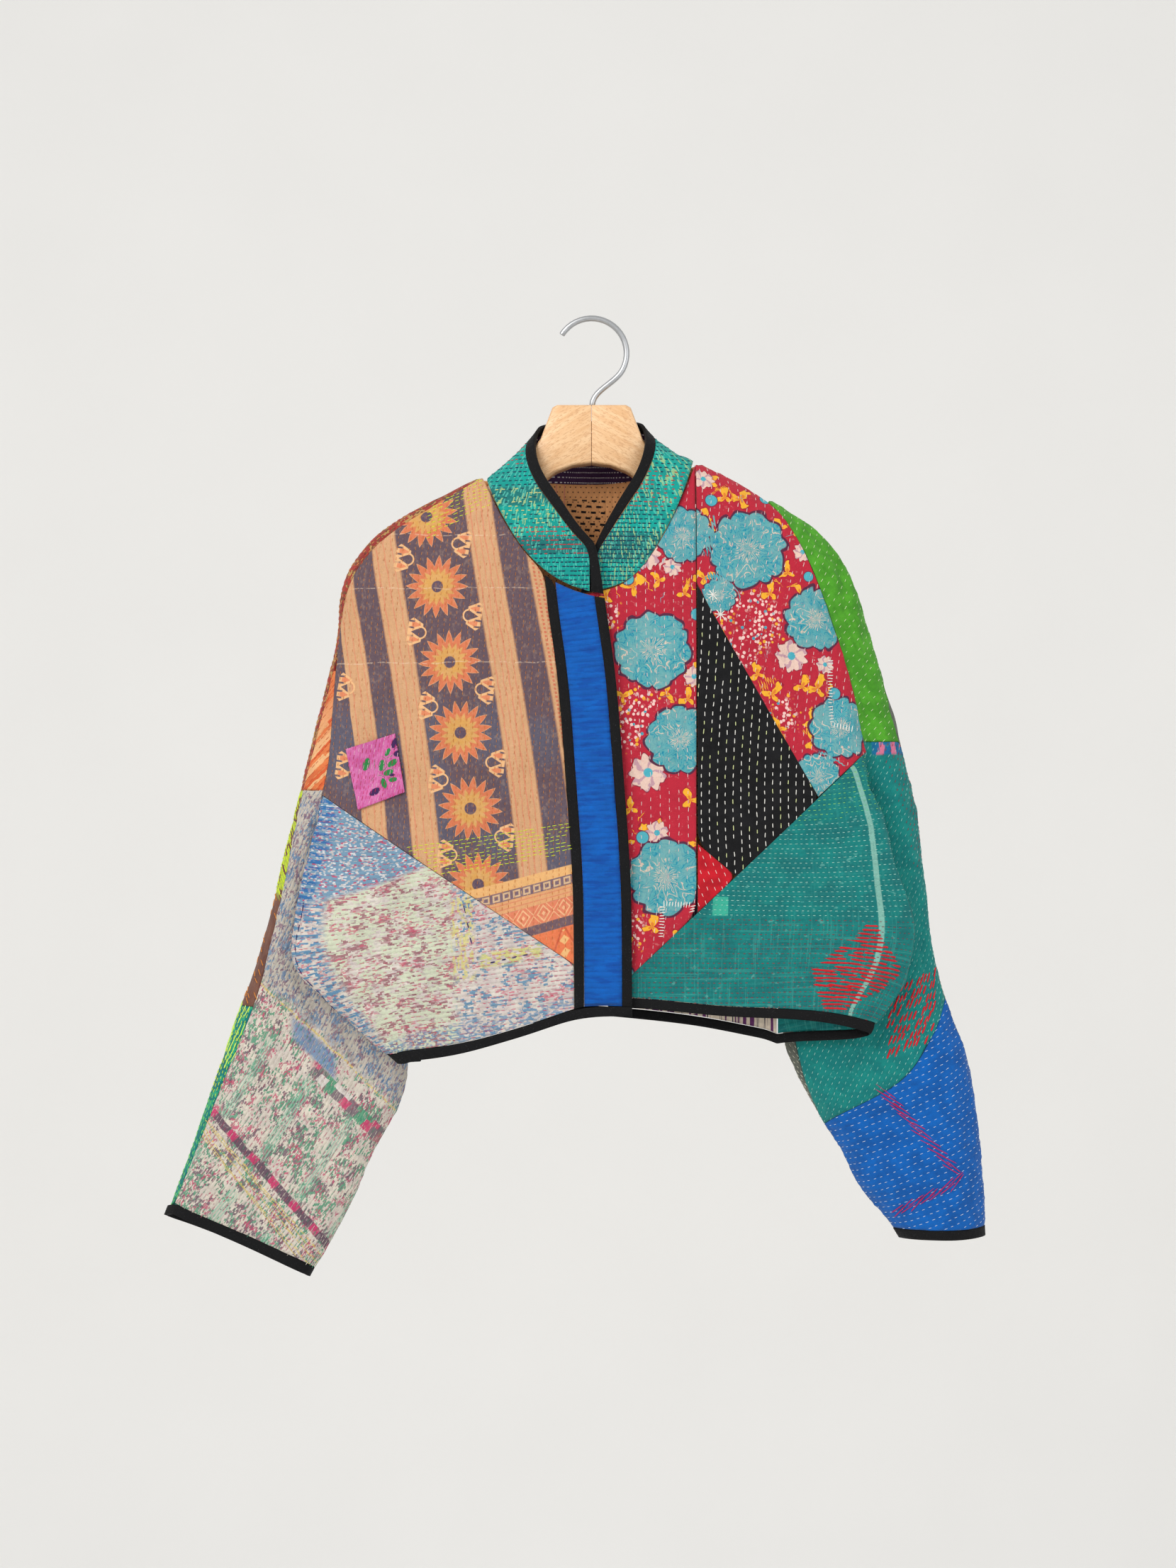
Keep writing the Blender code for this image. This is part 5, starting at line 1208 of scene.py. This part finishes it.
def pale_extra(p):
    lot, fine = p.strokes(8, 3.6, 1.5, seed=2.0), p.strokes(8, 2.3, 1.2, seed=5.0)
    top = (p.v + 487 - (p.u + 219) * 0.382).above(0, 5)
    left = (-219 - (p.v + 487) * 0.25 - p.u).above(0, 8) * (1 - top)
    middle = (1 - top) * (1 - left) * (-112 - p.u).above(0, 8)
    p.lay((197, 204, 178), middle * (p.noise(14, 2.0, seed=3.0) + lot * 0.3).above(0.56, 0.08) * 0.9)
    mauve = (p.noise(13, 2.0, stretch=(1.7, 1), seed=2.0) + (lot - 0.5) * 0.42).above(0.63, 0.03)
    p.lay((146, 84, 100), mauve * middle * 0.85)
    pink = (p.noise(11, 2.0, stretch=(1.7, 1), seed=4.0) + (fine - 0.5) * 0.5).above(0.7, 0.03)
    p.lay((192, 92, 114), pink * (1 - top) * 0.75)
    blue = (p.noise(12, 2.0, seed=6.0) + (lot - 0.5) * 0.4).above(0.62, 0.03)
    p.lay((106, 140, 166), blue * (1 - middle) * (1 - top))
    rows = p.rows(8)[1].part(5.6).within(0.15, 0.7, 0.1)
    p.lay((92, 134, 166), left * rows * lot.above(0.3, 0.05))
    p.lay((98, 140, 168), top * 0.92)
    p.lay((204, 204, 206), top * (fine + p.noise(8, 2.0) * 0.5).above(0.98, 0.04))
    p.lay((180, 84, 112), top * fine.within(0.1, 0.17, 0.01))
    edge = (-229 - p.u).above(0, 8) * (p.v + 500).above(0, 20)
    p.lay((26, 98, 160), edge * rows * 0.85)
    yellow = p.u.within(-114, -96, 3) * p.v.within(-556, -484, 4) * p.strokes(92, 5, 1.5).above(0.55, 0.05)
    p.lay((206, 196, 122), yellow * 0.85)
    lower = ((p.v + 540 - (p.u + 90) * 0.18).op("ABSOLUTE") * -1 + 6).above(0, 3) * p.u.within(-92, -42, 4)
    p.lay((206, 200, 116), lower * lot.above(0.4, 0.05) * 0.85)
    hem = (-603 - p.v + (p.u + 154) * 0.247).above(0, 3) * fine.above(0.5, 0.05)
    p.lay((104, 138, 168), hem * 0.8)
    p.lay((176, 166, 164), fine.above(0.86, 0.03) * 0.6)


def pale_stitches(cloth):
    def colour(u, v):
        if v + 487 - (u + 219) * 0.382 > 0:
            return random.choice([(206, 206, 206), (196, 80, 112), (150, 176, 196)])
        if u > -90:
            return random.choice([(222, 216, 206), (214, 64, 104), (206, 110, 134)])
        return random.choice([(226, 220, 206), (222, 214, 200), (210, 90, 116), (160, 104, 118)])

    made = rows_over(cloth, 8, 3.9, 4.4, 2.6, colour, width=0.42, skip=0.05)
    navy = (42, 30, 92)
    made += along_line([(-238, -492), (-226, -545), (-218, -578)], 4, 5.5, 7.5, navy, 1.0)
    made += along_line([(-104, -488), (-97, -532)], 0, 4.5, 14, navy, 1.0)
    made += along_line([(-86, -542), (-46, -533)], 0, 3.6, 9, navy, 1.2)
    return made


add_cloth("front_right_lower",
          washed("pale mottled cotton", (210, 202, 192), (194, 182, 178), rows=(8, 3.9), extra=pale_extra),
          stitches=pale_stitches, quilt=(8, 3.9))

# %% [markdown]
# Patch and placket
#
# A pink patch with a few printed green leaves was sewn over a worn place, with stitches that run across
# its raw edge. The placket is a strip of fine bright blue cotton. It is stitched through very little, so
# it has soft crosswise wrinkles instead of ribs: a bump, with painted shade in darker blue streaks.
# %%
PATCH_LEAVES = [
    (-188.5, -375, 5.4, 70), (-175, -376, 4.6, 80), (-165.5, -374, 4.6, 35), (-169, -382, 4.4, 20),
    (-165, -388, 3.6, 10), (-173, -391, 4.4, 110), (-170, -365, 3.6, 60),
]
PATCH_DARK = [
    (-163.7, -357, 5, 60), (-160, -366, 5, 10), (-166, -384, 2.4, 0), (-181, -398, 5, 30),
]


def patch_art(cloth):
    nearest_motif(cloth, "leaf", PATCH_LEAVES)
    nearest_motif(cloth, "dark", PATCH_DARK)


def patch_extra(p):
    rows = p.rows(80)[1].part(3.4).within(0.3, 0.7, 0.15)
    p.lay((184, 66, 130), rows * p.strokes(80, 2.6, 3.4).above(0.5, 0.1) * 0.6)
    for name, ink in (("leaf", (42, 128, 66)), ("dark", (62, 34, 84))):
        x, y, _ = p.vector(name)
        blade = 1 - (x * x + (y * 1.9) * (y * 1.9))
        p.lay((40, 60, 60), (blade + 0.25).above(0, 0.1) * 0.35)
        p.lay(ink, blade.above(0, 0.1))


def placket_extra(p):
    # Darker blue streaks across the strip: painted shade of its soft wrinkles, not a dye.
    painted_wrinkle_shade = p.noise(3.6, 2.0, stretch=(4.5, 1), seed=7.0)
    p.lay((4, 62, 148), painted_wrinkle_shade.above(0.56, 0.1) * 0.5)


PINKS = any_of((222, 60, 130), (236, 150, 200), (190, 40, 90), (236, 190, 206))
add_cloth("front_patch",
          washed("pink cotton", (206, 112, 168), (196, 98, 156), rows=(80, 3.4), extra=patch_extra),
          stitches=in_rows(80, 3.4, 4.4, 2.6, PINKS, width=0.5), levels=4, art=patch_art, quilt=(80, 3.4))
add_cloth("placket",
          washed("blue fine cotton", (2, 90, 178), (4, 82, 166), rows=(3, 4.6), stretch=(5, 1), size=4,
                 depth=0.55, crinkle=0.4, extra=placket_extra), levels=2)

# %% [markdown]
# Sleeves
#
# The right sleeve is the most worn cloth of all: strokes of green, plum, pink and cream that run down the
# arm, a blue-grey zone under the arm, a row of small blocks, a plum band and two lines of yellow couched
# thread. Each of those crosses the sleeve at one slant, so one number, the distance from the plum band,
# places them all. The left sleeve is plainer: green, teal and blue cottons with a few bold stitches.
# %%


def from_belt(x, z):
    """The distance from the middle of the plum band, more towards the shoulder."""
    return ((z + 676.4) + (x + 325.7) * 0.935) * 0.73


def right_sleeve_art(cloth):
    x, z = cloth.uv[:, 0], cloth.uv[:, 1]
    cloth.store("belt", from_belt(x, z))


def right_sleeve_extra(p):
    belt = p.attribute("belt") + (p.noise(12, 1.0, seed=9.0) - 0.5) * 4.0
    lot, fine = p.strokes(62, 2.8, 1.2, seed=3.0), p.strokes(62, 2.0, 1.0, seed=7.0)
    clouds = [p.noise(11, 2.0, stretch=(1, 1.3), seed=s) for s in (2.0, 4.0, 6.0)]
    p.lay((62, 142, 110), (clouds[0] + (lot - 0.5) * 0.42).above(0.63, 0.03) * 0.85)
    p.lay((98, 74, 92), (clouds[1] + (lot - 0.5) * -0.4).above(0.65, 0.03) * 0.85)
    p.lay((190, 76, 110), (clouds[2] + (fine - 0.5) * 0.4).above(0.67, 0.03) * 0.85)
    stripes = (p.rows(62)[1].part(46, 0.1)).within(0.1, 0.32, 0.03) * p.rows(62)[1].part(2.3).above(0.4, 0.2)
    p.lay((142, 186, 162), stripes * belt.bands([(4, 84), (-90, -30)], 8) * 0.7)
    upper = belt.above(118, 12)
    grey = p.mix((188, 180, 168), (112, 136, 164),
                 (p.noise(16, 2.0, seed=5.0) + (lot - 0.5) * 0.3).above(0.58, 0.06))
    grey = p.mix(grey, (136, 112, 124), (p.noise(7, 2.0, seed=8.0) + (fine - 0.5) * 0.4).above(0.62, 0.03))
    p.lay(grey, upper * 0.95)
    p.lay((104, 136, 172), belt.within(97, 112, 3) * p.u.within(-258, -222, 5) * 0.85)
    blocks = p.strokes(-43, 9, 12, seed=4.0, wander=2.0)
    tile = p.mix((196, 60, 106), (70, 146, 112), blocks.above(0.36, 0.01))
    tile = p.mix(tile, (112, 96, 106), blocks.above(0.66, 0.01))
    tile = p.mix(tile, (214, 206, 200), blocks.above(0.88, 0.01))
    p.lay(tile, belt.within(85, 97, 1.0) * (p.u + 240).above(0, 8) * 0.9)
    plum = p.mix((100, 78, 92), (190, 58, 104), p.rows(-43)[0].part(27).within(0.1, 0.44, 0.04))
    p.lay(plum, belt.within(-3.6, 3.6, 0.8) * (p.noise(3, 1.0).above(0.3, 0.2) * 0.3 + 0.68))
    couched = belt.bands([(-9.8, -8.6), (-17, -15.8), (-22.6, -21.6), (113.6, 115.2)], 0.5)
    p.lay((216, 192, 106), couched * (fine.above(0.3, 0.05) * 0.8))
    p.lay((166, 152, 150), fine.above(0.88, 0.03) * 0.5)


def right_sleeve_stitches(cloth):
    def colour(u, v):
        if from_belt(u, v) > 118:
            return random.choice([(120, 150, 190), (206, 204, 204), (90, 116, 156)])
        return random.choice([(226, 218, 202), (222, 212, 196), (206, 198, 184), (90, 156, 126),
                              (190, 96, 122)])

    made = rows_over(cloth, 62, 3.7, 4.4, 3.0, colour, width=0.4, skip=0.05)
    gold = (220, 196, 104)
    made += along_line([(-331, -686), (-228, -785)], 4, 4.4, 5.2, gold, 0.6)
    made += along_line([(-333, -696), (-236, -796)], -3, 4.4, 5.2, gold, 0.6)
    return made


add_cloth("sleeve_right_front",
          washed("pale sleeve cotton", (214, 205, 190), (202, 192, 182), rows=(62, 3.7),
                 extra=right_sleeve_extra),
          stitches=right_sleeve_stitches, art=right_sleeve_art, quilt=(62, 3.7))


def cap_extra(p):
    fan = p.strokes(40, 60, 2.6, seed=1.0, wander=3.0)
    p.lay((226, 178, 128), fan.above(0.55, 0.05) * (-330 - p.v).above(0, 60) * 0.9)
    p.lay((206, 84, 44), fan.within(0.1, 0.35, 0.05) * 0.7)


def rust_extra(p):
    lot = p.strokes(40, 3.2, 2.0, seed=3.0, wander=4.0)
    p.lay((176, 140, 84), (p.noise(9, 2.0, seed=2.0) + (lot - 0.5) * 0.4).above(0.54, 0.04))
    p.lay((96, 30, 34), (lot.above(0.74, 0.05)) * 0.8)


add_cloth("sleeve_right_cap",
          washed("orange cotton", (218, 122, 70), (206, 104, 60), rows=(50, 4.4), extra=cap_extra),
          stitches=in_rows(40, 4.4, 5, 2.8, any_of((232, 170, 110), (190, 80, 44)), width=0.45))
add_cloth("sleeve_right_back_upper",
          washed("rust cotton", (160, 56, 48), (142, 48, 42), rows=(80, 4.6), extra=rust_extra),
          outward=BEHIND, levels=2,
          stitches=in_rows(80, 4.6, 5.2, 2.4, any_of((206, 160, 90), (190, 86, 60)), width=0.5,
                           where=lambda u, v: u < -175))


def key_extra(p):
    key = p.strokes(20, 7.0, 3.2, seed=2.0, wander=0.4)
    p.lay((190, 216, 60), key.above(0.45, 0.02) * (p.v + 478).above(0, 6) * 0.75)


def loop_extra(p):
    p.lay((66, 190, 120), p.strokes(68, 5.0, 2.6, seed=2.0).above(0.72, 0.03) * 0.5)


def key_stitches(cloth):
    def shows(u, v):
        return u < -226 and (v > -478 or random.random() < 0.25)

    return rows_over(cloth, 20, 3.4, 8.0, 5.4, lambda u, v: NEON if v > -478 else (224, 140, 50), width=0.7,
                     where=shows)


def loop_stitches(cloth):
    made = rows_over(cloth, 68, 4.2, 5.2, 2.2, lambda u, v: NEON if v > -645 else (140, 220, 110), width=0.6,
                     where=lambda u, v: u < -280 or v > -645)
    return made + rows_over(cloth, 80, 4.4, 8.6, 7.2, (206, 240, 110), width=1.2, skip=0.25,
                            where=lambda u, v: v > -622)


add_cloth("sleeve_right_back_middle",
          washed("brown cotton", (118, 80, 66), (102, 66, 56), rows=(72, 4.6), extra=key_extra),
          outward=BEHIND, levels=2, stitches=key_stitches)
add_cloth("sleeve_right_back_lower",
          washed("green stitched cotton", (8, 124, 118), (14, 108, 104), rows=(68, 4.2), extra=loop_extra),
          outward=BEHIND, levels=2, stitches=loop_stitches)
add_cloth("sleeve_left_cap",
          washed("green cotton", (80, 160, 40), (66, 140, 34), rows=(-62, 6.2), depth=0.5),
          stitches=in_rows(52, 6.2, 7, 2.1, (214, 232, 180), width=0.5), quilt=(52, 6.2))


def upper_sleeve_extra(p):
    scrap = (p.v + 366).above(0, 2) * (p.u - 236).above(0, 2)
    pattern = p.mix((20, 104, 148), (206, 110, 140), p.noise(7, 2.0, stretch=(1, 2.4)).above(0.54, 0.05))
    p.lay(pattern, scrap)
    p.lay((70, 160, 150), p.noise(4, 3.0, seed=4.0).above(0.66, 0.06) * 0.35)


def upper_sleeve_stitches(cloth):
    def colour(u, v):
        if v > -460 and u > 255 + (-400 - v) * 0.3:
            return random.choice([(158, 60, 70), (134, 56, 66), (160, 210, 200)])
        return random.choice([(160, 212, 200), (126, 196, 184)])

    made = rows_over(cloth, 62, 4.8, 5.2, 1.8, colour, width=0.5)
    for i in range(7):  # rows of red darning bars beside the blue cuff
        for j in range(12):
            x, z = 256 + j * 3.6 - i * 1.6, -566 - i * 9.0 + j * 1.2
            if x > 250 and (i + j) % 5:
                z += random.uniform(-1.5, 1.5)
                made.append((x, z, 66, random.uniform(5, 8.5), (212, 26, 42), 1.7))
    return made


add_cloth("sleeve_left_upper",
          washed("teal sleeve cotton", (10, 116, 114), (16, 128, 122), rows=(62, 4.8), speck=0.18,
                 extra=upper_sleeve_extra), stitches=upper_sleeve_stitches, quilt=(62, 4.8))


def blue_stitches(cloth):
    made = rows_over(cloth, 24, 5.6, 6.2, 1.9, (206, 220, 240), width=0.5, skip=0.02)
    chevron = [(244, -648), (312, -724), (251, -759)]
    return made + along_line(chevron, 16, 13.5, 9.5, (190, 26, 100), 0.9, offsets=(-1.7, 1.7))


add_cloth("sleeve_left_lower",
          washed("blue cotton", (2, 94, 178), (4, 84, 162), rows=(24, 5.6)),
          stitches=blue_stitches, quilt=(24, 5.6))
add_cloth("sleeve_left_back",
          washed("olive cotton", (104, 108, 98), (88, 92, 84), rows=(70, 5.0)),
          outward=BEHIND, levels=2,
          stitches=in_rows(70, 5, 5.6, 2.0, (206, 204, 184), width=0.5,
                           where=lambda u, v: u > 280 or v < -600))
print("sleeves made")

# %% [markdown]
# Back and its lining
#
# The back is a plain tan print. Its inner side shows through the neck, where rows of dark dots and a few
# looped black stitches lie on tan, and at the left hem, where it is cream with purple and navy stripes.
# The material knows the two sides from one number stored on the points.
# %%


def back_material():
    p = Paint("tan print")
    inside = p.attribute("lining")
    p.dye((188, 124, 74), (174, 110, 64), p.noise(16, 3.0))
    p.lay((232, 166, 110), inside * 0.85)
    p.lay((74, 44, 34), p.dashes(0, 4.2, 4.6, 1.1, 1.0, 1.0) * inside)
    loops = p.u.within(-24, 12, 1.0) * p.v.within(-180, -147, 1.0)
    p.lay((20, 16, 18), p.dashes(-4, 5.0, 8.5, 4.4, 1.9, 1.5) * loops * inside)
    p.lay((214, 130, 110), p.u.bands([(-31, -30.2), (-24, -23.2)]) * (p.v + 164).above(0, 2) * inside)
    stripe = p.noise(4.0, 1.0, stretch=(1, 60), seed=2.0)
    pale = p.mix((222, 206, 186), (96, 44, 96), stripe.above(0.57, 0.05))
    pale = p.mix(pale, (34, 30, 66), stripe.within(0.33, 0.38, 0.01))
    p.lay(pale, inside * (0 - p.v).above(480, 3))
    thread = p.dashes(88, 6, 6.4, 2.8, 0.8, 2.0)
    p.lay((226, 196, 150), thread * (1 - inside) * 0.8)
    return p.cotton(p.puckers(88, 6, 0.45, 0.5))


add_cloth("back", back_material(), outward=BEHIND, levels=2, art=lining_art, quilt=(88, 6))

# %% [markdown]
# Collar
#
# The standing collar was pieced from an older quilt, so bands of teal and dark green cross it level with
# the ground, whatever the cut does. It gets a map of its own: the way round the neck, and the height. Its
# inner side is purple with rows of white stitches.
# %%
NECK_RADIUS = 75.0


def collar_art(cloth):
    lining_art(cloth)
    foot = np.clip((-129 - cloth.points[:, 2]) / 5, 0, 1) * np.clip((cloth.points[:, 1] - 8) / 6, 0, 1)
    cloth.points[:, 2] -= 1.3 * foot  # closes the seam at the back neck
    middles = np.repeat([cloth.points[cloth.loop_vertex[s:s + n]][:, 0].mean()
                         for s, n in zip(cloth.starts, cloth.totals)], cloth.totals)
    place = cloth.points[cloth.loop_vertex]
    around = np.arctan2(place[:, 0], 10 - place[:, 1])
    wrapped = (around * middles < 0) & (np.abs(around) > math.pi / 2)
    around[wrapped] += 2 * math.pi * np.sign(middles[wrapped])
    cloth.loop_uv = np.stack([around * NECK_RADIUS, place[:, 2]], 1)
    cloth.uv[cloth.loop_vertex] = cloth.loop_uv
    cloth.mesh.uv_layers["cloth"].uv.foreach_set("vector", cloth.loop_uv.reshape(-1).astype(np.float32))


def collar_extra(p):
    right = (0 - p.u).above(0, 1)
    z = p.v + (p.noise(20, 1.0, seed=3.0) - 0.5) * 4
    dark = right * z.bands([(-158, -142), (-200, -186)], 2.0) + (1 - right) * z.within(-206, -182, 4.0)
    p.lay((26, 104, 104), dark.op("MINIMUM", 1.0) * 0.85)
    columns = p.strokes(90, 4.8, 0.9, seed=4.0, wander=1.6)
    where = (right * z.within(-186, -142, 2.0) + (1 - right) * (1 - z.above(-112, 8))).op("MINIMUM", 1.0)
    p.lay((158, 190, 132), columns.above(0.85, 0.04) * where * 0.85)
    p.lay((96, 204, 184), p.strokes(90, 3.6, 0.9, seed=8.0).above(0.8, 0.04) * 0.5)
    inside = p.attribute("lining")
    lined = p.mix((76, 44, 82), (62, 34, 70), p.noise(5, 2.0, stretch=(1, 8)))
    lined = p.mix(lined, (226, 220, 220), p.dashes(0, 4.4, 5.2, 2.6, 0.9, 0.6))
    p.lay(lined, inside)


def collar_stitches(cloth):
    def colour(u, v):
        red = -201 < v < -174 or -124 < v < -100 if u < 0 else -160 < v < -126 and u > 40
        if red and random.random() < 0.75:
            return (186, 56, 66)
        if u < 0 and -174 < v < -142:
            return random.choice([(20, 70, 84), (206, 208, 140), None])
        return random.choice([(18, 34, 74), (18, 34, 74), (16, 60, 84)])

    return rows_over(cloth, 0, 3.7, 4.3, 2.2, colour, width=0.95)


add_cloth("collar",
          washed("collar cotton", (6, 158, 146), (14, 142, 134), rows=(0, 3.7), extra=collar_extra),
          stitches=collar_stitches, levels=2, art=collar_art)

# %% [markdown]
# Bindings
#
# Every raw edge is folded into a black cotton strip about 13 mm wide. The strips are slightly crimped by
# their hand sewing, and black cotton catches a little lint.
# %%


def binding_material():
    p = Paint("black binding", on_cloth=False)
    p.dye((8, 8, 10), (17, 17, 19), p.noise(12, 3.0))
    lint = p.noise(0.9, 1.0, seed=4.0).above(0.72, 0.05)
    p.lay((70, 70, 74), lint * 0.5)
    crimp = p.noise(3.0, 2.0) * 0.5 + p.noise(8, 1.0, seed=2.0) * 0.6
    return p.cotton(crimp, weave=0.02, roughness=0.9, sheen=0.04)


BINDING = binding_material()
for name in ("collar_binding", "cuff_binding_left", "cuff_binding_right", "front_edge_binding", "hem_binding",
             "placket_binding"):
    put_in_place(name, fine_mesh(name, FRONT, 2, mapped=False), "_cloth", BINDING)
print("back, collar and bindings made")

# %% [markdown]
# Hanger and hook
#
# The hanger is two lengths of pale beech glued at a slant in the middle, so the grain of each half leans
# its own way and the joint shows as a fine line. Beech has short dark flecks along the grain. The hook is
# satin steel wire. Both keep the CAD shape, with their sharp edges eased by a small bevel.
# %%


def wood_material(name, lean):
    p = Paint(name, on_cloth=False)
    along = p.u * math.cos(lean) + p.w * math.sin(lean)
    across = p.w * math.cos(lean) - p.u * math.sin(lean)
    marks = []
    for x, y, z, scale, detail in ((0.12, 1.0, 1.0, 0.28, 4.0), (0.34, 1.3, 0.5, 0.9, 1.0)):
        at = p.node("ShaderNodeCombineXYZ", None, X=along * x, Y=across * y, Z=p.v * z)
        made = p.node("ShaderNodeTexNoise", None, Vector=at.outputs[0], Scale=scale, Detail=detail)
        marks.append(N(p.tree, made.outputs["Fac"]))
    grain, fleck = marks
    p.dye((236, 196, 150), (224, 176, 126), grain.above(0.5, 0.3))
    p.lay((202, 150, 104), fleck.above(0.58, 0.06) * 0.6)
    bump = p.node("ShaderNodeBump", None, Strength=0.5, Distance=MM, Height=grain * 0.15 + fleck * 0.04)
    skin = p.node("ShaderNodeBsdfPrincipled", None, Base_Color=p.colour, Normal=bump.outputs[0],
                  Roughness=fleck * 0.15 + 0.36)
    for slot, value in (("Coat Weight", 0.2), ("Coat Roughness", 0.3)):
        skin.inputs[slot].default_value = value
    p.tree.links.new(skin.outputs[0], p.node("ShaderNodeOutputMaterial").inputs[0])
    return p.material


def steel_material():
    p = Paint("satin wire", on_cloth=False)
    rub = p.noise(4, 3.0)
    bump = p.node("ShaderNodeBump", None, Strength=0.4, Distance=MM, Height=p.noise(0.8, 2.0) * 0.03)
    skin = p.node("ShaderNodeBsdfPrincipled", None, Base_Color=p.mix((168, 170, 172), (192, 193, 195), rub),
                  Normal=bump.outputs[0], Roughness=rub * 0.15 + 0.3)
    skin.inputs["Metallic"].default_value = 1.0
    p.tree.links.new(skin.outputs[0], p.node("ShaderNodeOutputMaterial").inputs[0])
    return p.material


EASE, EASED_TURN, SHARP_TURN = 0.6 * MM, math.radians(28), math.radians(40)


def hard_piece(name, material):
    """A smooth copy of a hard CAD node, with every edge that turns more than EASED_TURN eased."""
    bm = coarse_copy(NODES[name])
    edges = [e for e in bm.edges if e.calc_face_angle(0) > EASED_TURN]
    bmesh.ops.bevel(bm, geom=edges, offset=EASE, segments=2, profile=0.5, affect="EDGES", clamp_overlap=True)
    me = bpy.data.meshes.new(name)
    bm.to_mesh(me)
    bm.free()
    me.polygons.foreach_set("use_smooth", [True] * len(me.polygons))
    me.set_sharp_from_angle(angle=SHARP_TURN)
    put_in_place(name, me, "_piece", material)


hard_piece("hanger_left", wood_material("beech left", -0.5))
hard_piece("hanger_right", wood_material("beech right", 0.5))
hard_piece("hook", steel_material())

# %% [markdown]
# Floor
#
# The stage is one pale sheet: a floor well under the jacket that bends up behind it in a quarter circle,
# far enough back to take no shadow and to leave room for a camera that looks at the jacket's back.
# %%
FLOOR_Z, FLOOR_HALF, BEND_Y, BEND_RADIUS, BEND_STEPS, WALL_TOP = -2.2, 8.0, 2.5, 0.9, 12, 4.0  # metres
profile = [(-FLOOR_HALF, FLOOR_Z), (BEND_Y, FLOOR_Z)]
for i in range(1, BEND_STEPS + 1):
    turn = math.radians(90 * i / BEND_STEPS)
    profile.append((BEND_Y + BEND_RADIUS * math.sin(turn), FLOOR_Z + BEND_RADIUS * (1 - math.cos(turn))))
profile.append((BEND_Y + BEND_RADIUS, WALL_TOP))
corners = [(x, y, z) for y, z in profile for x in (-FLOOR_HALF, FLOOR_HALF)]
floor_mesh = bpy.data.meshes.new("floor")
floor_mesh.from_pydata(corners, [], [(i, i + 1, i + 3, i + 2) for i in range(0, 2 * len(profile) - 2, 2)])
floor_mesh.polygons.foreach_set("use_smooth", [True] * len(floor_mesh.polygons))
paper = Paint("pale floor", on_cloth=False)
paper.dye((250, 249, 247), (246, 245, 243), paper.noise(300, 2.0))
paper_skin = paper.node("ShaderNodeBsdfPrincipled", None, Base_Color=paper.colour, Roughness=0.95)
paper.tree.links.new(paper_skin.outputs[0], paper.node("ShaderNodeOutputMaterial").inputs[0])
floor_mesh.materials.append(paper.material)
floor = linked("floor", floor_mesh)

# %% [markdown]
# Cut sizes and triangles
#
# The size of each piece's cut is the extent and the area of its outer face on the cloth map. The
# bindings are folded strips. Their lengths follow the edges they bind. The finished objects' triangles
# are counted.
# %%
for name, (width, length, area) in FLATS.items():
    min(area, width * length)
triangles = {o.name: sum(len(p.vertices) - 2 for p in o.data.polygons) for o in bpy.data.objects
             if o.type == "MESH" and "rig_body" in o and "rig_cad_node" not in o}
print("triangles", sum(triangles.values()), "most", max(triangles.items(), key=lambda t: t[1]))
